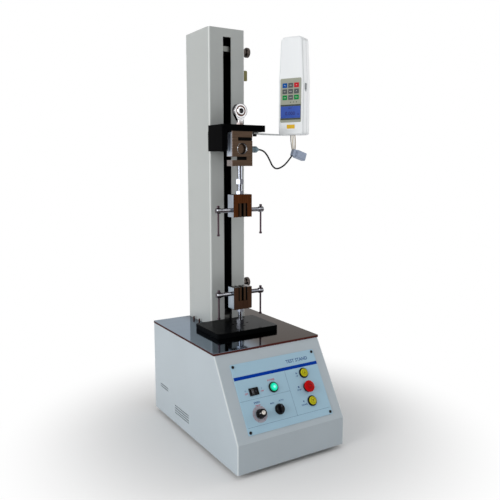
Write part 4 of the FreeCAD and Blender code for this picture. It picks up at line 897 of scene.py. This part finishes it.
# Gauge: keys, display and sticker, with heights from its lower end and levels from its front
gaugeFace = {
    "sunk": 0.1, "film": 0.18, "edge": 0.05,
    "keyLevel": 1.28, "keyHalf": (6.5, 5.7), "keyCorner": 1.0, "keyEdge": 0.08,
    "columns": (-16.0, 0.0, 16.0), "rows": (120.0, 105.5, 91.0),
    "keys": [["keyBlue", "keyGrey", "keyRed"], ["keyGrey", "keyGrey", "keyGrey"],
             ["keyGreen", "keyGrey", "keyGreen"]],
    "words": [["ON", "UNIT", "OFF"], ["PEAK", "MODE", "SET"], ["SAVE", "DOWN", "ZERO"]],
    "wordSize": 2.3, "wordDepth": 0.06,
    "windowLevel": 1.18, "window": ((0.0, 55.6), 27.4, 14.3, 0.4),
    "bars": [((0.0, 72.0), 27.6, 2.0, 0.3), ((0.0, 39.2), 27.6, 2.0, 0.3)], "barProud": 0.02,
    "lights": [((x, 79.6), 1.5, 1.2, 1.1, 0.7, 1.0, 0.05) for x in (0.0, 8.0, 16.0)],
    "digits": [("gaugeDigits", "0.000", 12.5, (-1.0, 52.0)), ("gaugeUnit", "N", 6.0, (21.0, 50.0)),
               ("gaugeSmallWord", "MAX", 4.4, (-1.0, 65.0))], "digitDepth": 0.05,
    "sticker": ((0.5, 20.5), 11.0, 4.9, 0.6, -0.1, 0.14, 0.04),
}


def buildGaugeFace():
    g = gaugeFace
    owner = ("crosshead", "overlay_film")
    low, high = g["keyLevel"] - g["sunk"], g["keyLevel"] + g["film"]
    keys = [((x, z), key, words) for z, row, wordRow in zip(g["rows"], g["keys"], g["words"])
            for x, key, words in zip(g["columns"], row, wordRow)]
    for finish in ("keyBlue", "keyGrey", "keyRed", "keyGreen"):
        slabs = [(spot, *g["keyHalf"], g["keyCorner"], low, high, g["keyEdge"])
                 for spot, key, words in keys if key == finish]
        joinSlabs(finish + "Tops", slabs, onGaugeFront, finish, *owner)
    for spot, key, words in keys:
        makeWords("keyWord" + words.title(), words, g["wordSize"], g["wordDepth"], (*spot, high),
                  onGaugeFront, "markWhite", *owner)
    low, high = g["windowLevel"] - g["sunk"], g["windowLevel"] + g["film"]
    joinSlabs("gaugeDisplay", [(*g["window"], low, high, g["edge"])], onGaugeFront, "displayBlue", *owner)
    slabs = [(*bar, low, high + g["barProud"], g["edge"]) for bar in g["bars"]] + g["lights"]
    joinSlabs("gaugeDisplayBars", slabs, onGaugeFront, "displayFrame", *owner)
    for name, words, size, spot in g["digits"]:
        makeWords(name, words, size, g["digitDepth"], (*spot, high), onGaugeFront, "digitInk", *owner)
    joinSlabs("gaugeSticker", [g["sticker"]], onGaugeFront, "stickerYellow", *owner)


gaugeSeam = {"corners": [(-34.5, 0.0), (34.5, 0.0), (34.5, 130.0), (29.0, 236.0), (-29.0, 236.0),
                         (-34.5, 130.0)],
             "radii": [7.0, 7.0, 0.5, 12.0, 12.0, 0.5], "steps": 9,
             "split": 20.0, "half": 0.35, "sunk": 0.3, "proud": 0.05}


def roundedPolygon(corners, radii, steps):
    # each corner gives the arc that touches both its sides, sampled from one touching point to the other
    points = np.asarray(corners, float)
    loop = []
    for here, before, after, radius in zip(points, np.roll(points, 1, 0), np.roll(points, -1, 0), radii):
        u = (before - here) / np.linalg.norm(before - here)
        v = (after - here) / np.linalg.norm(after - here)
        half = math.acos(float(np.clip(u @ v, -1, 1))) / 2
        bisector = (u + v) / np.linalg.norm(u + v)
        center = here + bisector * radius / math.sin(half)
        start, end = [here + side * radius / math.tan(half) - center for side in (u, v)]
        first = math.atan2(start[1], start[0])
        sweep = (math.atan2(end[1], end[0]) - first + math.pi) % (2 * math.pi) - math.pi
        a = first + sweep * np.linspace(0.0, 1.0, steps)
        loop.append(center + radius * np.stack([np.cos(a), np.sin(a)], -1))
    return np.concatenate(loop)


def buildGaugeSeam():
    # a hair-thin dark band round the gauge where its two shells meet: the outline drawn out along its normals
    g = gaugeSeam
    loop = roundedPolygon(g["corners"], g["radii"], g["steps"])
    along = np.roll(loop, -1, 0) - np.roll(loop, 1, 0)
    outward = np.stack([along[:, 1], -along[:, 0]], -1) / np.linalg.norm(along, axis=1)[:, None]
    rings = []
    for offset, y in ((-g["sunk"], -g["half"]), (g["proud"], -g["half"]), (g["proud"], g["half"]),
                      (-g["sunk"], g["half"])):
        x, z = (loop + outward * offset).T
        rings.append(np.stack([x, np.full(len(x), g["split"] + y), z], -1))
    quads = ringQuads(len(rings), len(loop), len(rings))[:, [0, 3, 2, 1]]
    makePiece("gaugeSeam", gaugePlace(np.concatenate(rings)), quads.tolist(), "seamGrey", "crosshead",
              "gauge_white")


buildGaugeFace()
buildGaugeSeam()
print("gauge face done")

# The load cell's label on its left face, dark pieces in its slots that paint the shade inside them, and the
# rims of its bore, which carry a painted reflection; the slot shades' levels are minus the y of the bench
cell = {"faceX": -16.7, "label": ((0.0, 689.5), 11.2, 27.5, 0.8, -0.05, 0.2, 0.04),
        "band": ((0.0, 692.0), 1.7, 20.0, 0.3, 0.1, 0.23, 0.02),
        "slotShadeFront": -233.3, "slotShades": [((20.9, 701.65), 18.4, 3.95, 1.2, -255.7),
                                       ((12.0, 656.65), 12.3, 3.95, 1.2, -237.5)], "slotShadeEdge": 0.3,
        "boreZ": 679.15, "boreEnds": [(-1, "Front", 232.1), (1, "Back", 256.9)],
        "bore": [(12.95, -2.4), (12.95, 0.0), (13.7, 0.0), (13.5, 0.25), (12.7, 0.25), (11.4, -2.4)]}


def onCellSide(points):
    # x runs to the front, y is height, the level stands out to the left
    x, y, level = axes(points)
    return bench(np.stack([cell["faceX"] - level, loadLine["y"] - x, y], -1))


def buildCellPieces():
    owner = ("crosshead", "grip_steel")
    joinSlabs("cellLabel", [cell["label"]], onCellSide, "labelPale", *owner)
    joinSlabs("cellLabelBand", [cell["band"]], onCellSide, "labelBand", *owner)
    joinSlabs("cellSlotShades", [(*slotShade, cell["slotShadeFront"], cell["slotShadeEdge"]) for slotShade in cell["slotShades"]], onFront,
              "sealBlack", *owner)
    for side, label, y in cell["boreEnds"]:
        place = alongY((loadLine["x"], y, cell["boreZ"]), side)
        makeRing("cellBore" + label, cell["bore"], place, "boreSteel", *owner)


eye = {"z": 766.6, "halfWidth": 6.0, "race": [(10.05, -0.1), (12.6, -0.1), (12.4, 0.22), (10.1, 0.22)],
       "edge": (16.05, 16.95), "open": 48.0, "edgeHeights": (-0.1, 0.12)}


def eyeEdgeOutline(mirror):
    # two arcs round the eye, open at the neck
    a = np.radians(np.linspace(-90 + eye["open"], 270 - eye["open"], 49))
    ray = np.stack([np.cos(a), np.sin(a)], -1)
    near, far = eye["edge"]
    return np.array([mirror * loadLine["x"], eye["z"]]) + np.concatenate([ray * far, ray[::-1] * near])


def buildEyePieces():
    # the bronze race on both faces, and a dark line along the edge of each face, which is a painted dark
    # reflection on the chrome's rim
    owner = ("crosshead", "rod_chrome")
    sides = ((-1, "Front", onFront), (1, "Back", onBack))
    for side, label, place in sides:
        spot = (loadLine["x"], loadLine["y"] + side * eye["halfWidth"], eye["z"])
        makeRing("eyeRace" + label, eye["race"], alongY(spot, side), "raceBronze", *owner)
    for side, label, place in sides:
        face = eye["halfWidth"] + side * loadLine["y"]
        low, high = [face + height for height in eye["edgeHeights"]]
        joinPrisms("eyeRimReflection" + label, [eyeEdgeOutline(-side)], low, high, place, "screwDark", *owner)


# Threads: ridges sunk a little into a rod of the radius; the crest is a share of the ridge's half width
leadThread = {"radius": 8.0, "height": 0.7, "sunk": 0.15, "half": 1.3, "crest": 0.4, "lead": 10.0,
              "starts": 2, "steps": 20, "low": 265.0, "high": 909.0, "spot": (11.5, 348.7, 0.0)}
jawThread = {"radius": 5.0, "height": 0.22, "sunk": 0.15, "half": 0.5, "crest": 0.4, "lead": 1.5,
             "starts": 1, "steps": 18, "low": 28.2, "high": 51.2,
             "gripHeights": {"lower": 332.0, "upper": 534.3}}
studThread = {**jawThread, "height": 0.2,
              "spans": [("lowerStudThread", "machine", 267.6, 285.0),
                        ("upperStudThread", "crosshead", 581.0, 595.4),
                        ("upperStudTopThread", "crosshead", 609.3, 637.8)]}


def buildThreads():
    x, y = loadLine["x"], loadLine["y"]
    makeRidge("leadScrewThread", leadThread, upright(leadThread["spot"]), "rodDark", "lead_screw",
              "rod_chrome")
    for level, z in jawThread["gripHeights"].items():
        for side, label in ((-1, "Left"), (1, "Right")):
            makeRidge(f"{level}{label}ScrewThread", jawThread, alongX((x, y, z), side), "jawScrewSteel",
                      f"{level}_{label.lower()}_screw", "rod_chrome")
    for name, body, low, high in studThread["spans"]:
        makeRidge(name, {**studThread, "low": low, "high": high}, upright((x, y, 0.0)), "rodChrome", body,
                  "rod_chrome")


buildCellPieces()
buildEyePieces()
buildThreads()
print("cell, eye and threads done")

# Cord and leads: the route's points as the CAD has them; the leads lie side by side, by these offsets
cordParts = {
    "route": [(0.03148, 0.03025, 0.67815), (0.04348, 0.03025, 0.67665), (0.05548, 0.03085, 0.66715),
              (0.06548, 0.03175, 0.65215), (0.07398, 0.03245, 0.63765), (0.08548, 0.03285, 0.63115),
              (0.10148, 0.03265, 0.63565), (0.11648, 0.03165, 0.64665), (0.13148, 0.03025, 0.66565)],
    "diameter": 0.004,
    "leads": [(0.13678, 0.03605, 0.715), (0.13728, 0.03445, 0.698), (0.13638, 0.03125, 0.6795)],
    "leadDiameter": 0.0022, "atHood": (0.75, -0.1, 0.0), "between": (1.15, 0.1),
    "spread": [("leadOne", -6.0, "leadGrey"), ("leadTwo", -2.2, "leadBeige"), ("leadThree", 1.8, "leadPale"),
               ("leadFour", 5.6, "leadBrown")],
}


def routeCurve(name, route, diameter, *owner):
    # a smooth line with the route's points as its control points, given a round section
    curve = bpy.data.curves.new(name, "CURVE")
    curve.dimensions = "3D"
    curve.bevel_depth = diameter / 2
    curve.bevel_resolution = 5
    curve.resolution_u = 16
    curve.use_fill_caps = True
    spline = curve.splines.new("NURBS")
    spline.points.add(len(route) - 1)
    spline.points.foreach_set("co", np.column_stack([route, np.ones(len(route))]).ravel())
    spline.order_u = 3
    spline.use_endpoint_u = True
    return addPiece(name, curve, *owner)


def buildLeads():
    # four thin leads side by side: spread along the gauge's width above, closer along x at the hood
    a = math.radians(gauge["turn"])
    wide = np.array([math.cos(a), -math.sin(a), 0.0]) * mm
    close = np.array(cordParts["atHood"]) * mm
    wider, closer = cordParts["between"]
    for name, offset, finish in cordParts["spread"]:
        shifts = np.array([wide, wide * wider + close * closer, close]) * offset
        route = np.array(cordParts["leads"]) + shifts
        lead = routeCurve(name, route, cordParts["leadDiameter"], finish, "crosshead", "leads_plastic")
        if name == "leadOne":
            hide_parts("gauge_leads")


sensorCord = routeCurve("sensorCord", cordParts["route"], cordParts["diameter"], "cordBlack", "crosshead",
                        "cord_black")
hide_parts("sensor_cord")
buildLeads()
print("cord and leads done")

# Stage: the camera's place in bench millimetres, and each lamp's name, place, size and power
white = (1.0, 1.0, 1.0, 1.0)
stage = {
    "camera": (-720.9, -990.8, 640.0), "pan": 31.632, "tilt": 8.031,
    "lens": 43.109, "sensor": 36.0, "clip": 0.05,
    "floor": 6.0, "floorColor": (0.9, 0.9, 0.9, 1.0), "floorRough": 0.7, "floorSpecular": 0.1,
    "fade": (0.2, 0.62), "ambient": 0.32, "aim": (0.0, 0.0, 0.45),
    "lamps": [("keyLeft", (-2.9, -0.6, 1.25), 2.2, 44.0), ("fillFront", (0.3, -2.8, 1.8), 2.0, 2.5),
              ("topSoft", (0.2, 0.1, 3.2), 2.4, 11.0), ("sideRight", (3.0, -0.5, 1.3), 1.8, 24.0)],
}


def seenRays(tree):
    # 1 for rays from the camera, mirrored rays and rays through glass
    path = tree.nodes.new("ShaderNodeLightPath")
    first = mathNode(tree, "MAXIMUM", path.outputs["Is Camera Ray"], path.outputs["Is Glossy Ray"])
    return mathNode(tree, "MAXIMUM", first, path.outputs["Is Transmission Ray"])


def floorMaterial():
    # pale and lit near the object, so that it takes the shadow; further off it runs into the white background
    material, surface = newMaterial("floorPale", stage["floorColor"], stage["floorRough"])
    surface.inputs["Specular IOR Level"].default_value = stage["floorSpecular"]
    tree = material.node_tree
    fade = rangeNode(tree, vectorNode(tree, "LENGTH", placeOf(tree)), *stage["fade"], smooth=True)
    glow = addNode(tree, "ShaderNodeEmission", Color=white, Strength=1.0)
    mixed = tree.nodes.new("ShaderNodeMixShader")
    seen = mathNode(tree, "MULTIPLY", fade, seenRays(tree))
    for socket, value in zip(mixed.inputs, (seen, surface.outputs[0], glow.outputs[0])):
        tree.links.new(value, socket)
    tree.links.new(mixed.outputs[0], tree.nodes["Material Output"].inputs["Surface"])
    return material


def buildFloor():
    half = stage["floor"]
    mesh = bpy.data.meshes.new("studioFloor")
    corners = [(-half, -half, 0), (half, -half, 0), (half, half, 0), (-half, half, 0)]
    mesh.from_pydata(corners, [], [(0, 1, 2, 3)])
    mesh.materials.append(floorMaterial())
    floor = bpy.data.objects.new("studioFloor", mesh)
    bpy.context.scene.collection.objects.link(floor)


def buildWorld():
    # white to the camera, dimmer as a light
    world = bpy.data.worlds.new("studioWorld")
    bpy.context.scene.world = world
    world.use_nodes = True
    tree = world.node_tree
    background = tree.nodes["Background"]
    background.inputs["Color"].default_value = white
    strength = rangeNode(tree, seenRays(tree), 0.0, 1.0, stage["ambient"], 1.0)
    tree.links.new(strength, background.inputs["Strength"])


def buildLamps():
    for name, spot, size, power in stage["lamps"]:
        light = bpy.data.lights.new(name, "AREA")
        light.shape = "DISK"
        light.size = size
        light.energy = power
        lamp = bpy.data.objects.new(name, light)
        lamp.location = spot
        x, y, z = np.array(stage["aim"]) - np.array(spot)
        fall = math.atan2(-z, math.hypot(x, y))
        lamp.rotation_euler = (math.pi / 2 - fall, 0.0, math.atan2(y, x) - math.pi / 2)
        bpy.context.scene.collection.objects.link(lamp)


def buildCamera():
    lens = bpy.data.cameras.new("photoCamera")
    lens.lens = stage["lens"]
    lens.sensor_width = stage["sensor"]
    lens.clip_start = stage["clip"]
    camera = bpy.data.objects.new("photoCamera", lens)
    camera.location = tuple(bench(stage["camera"]))
    camera.rotation_euler = (math.radians(90 - stage["tilt"]), 0.0, -math.radians(stage["pan"]))
    bpy.context.scene.collection.objects.link(camera)
    bpy.context.scene.camera = camera
    bpy.context.scene.view_settings.view_transform = "Standard"


buildFloor()
buildWorld()
buildLamps()
buildCamera()
print("stage done")
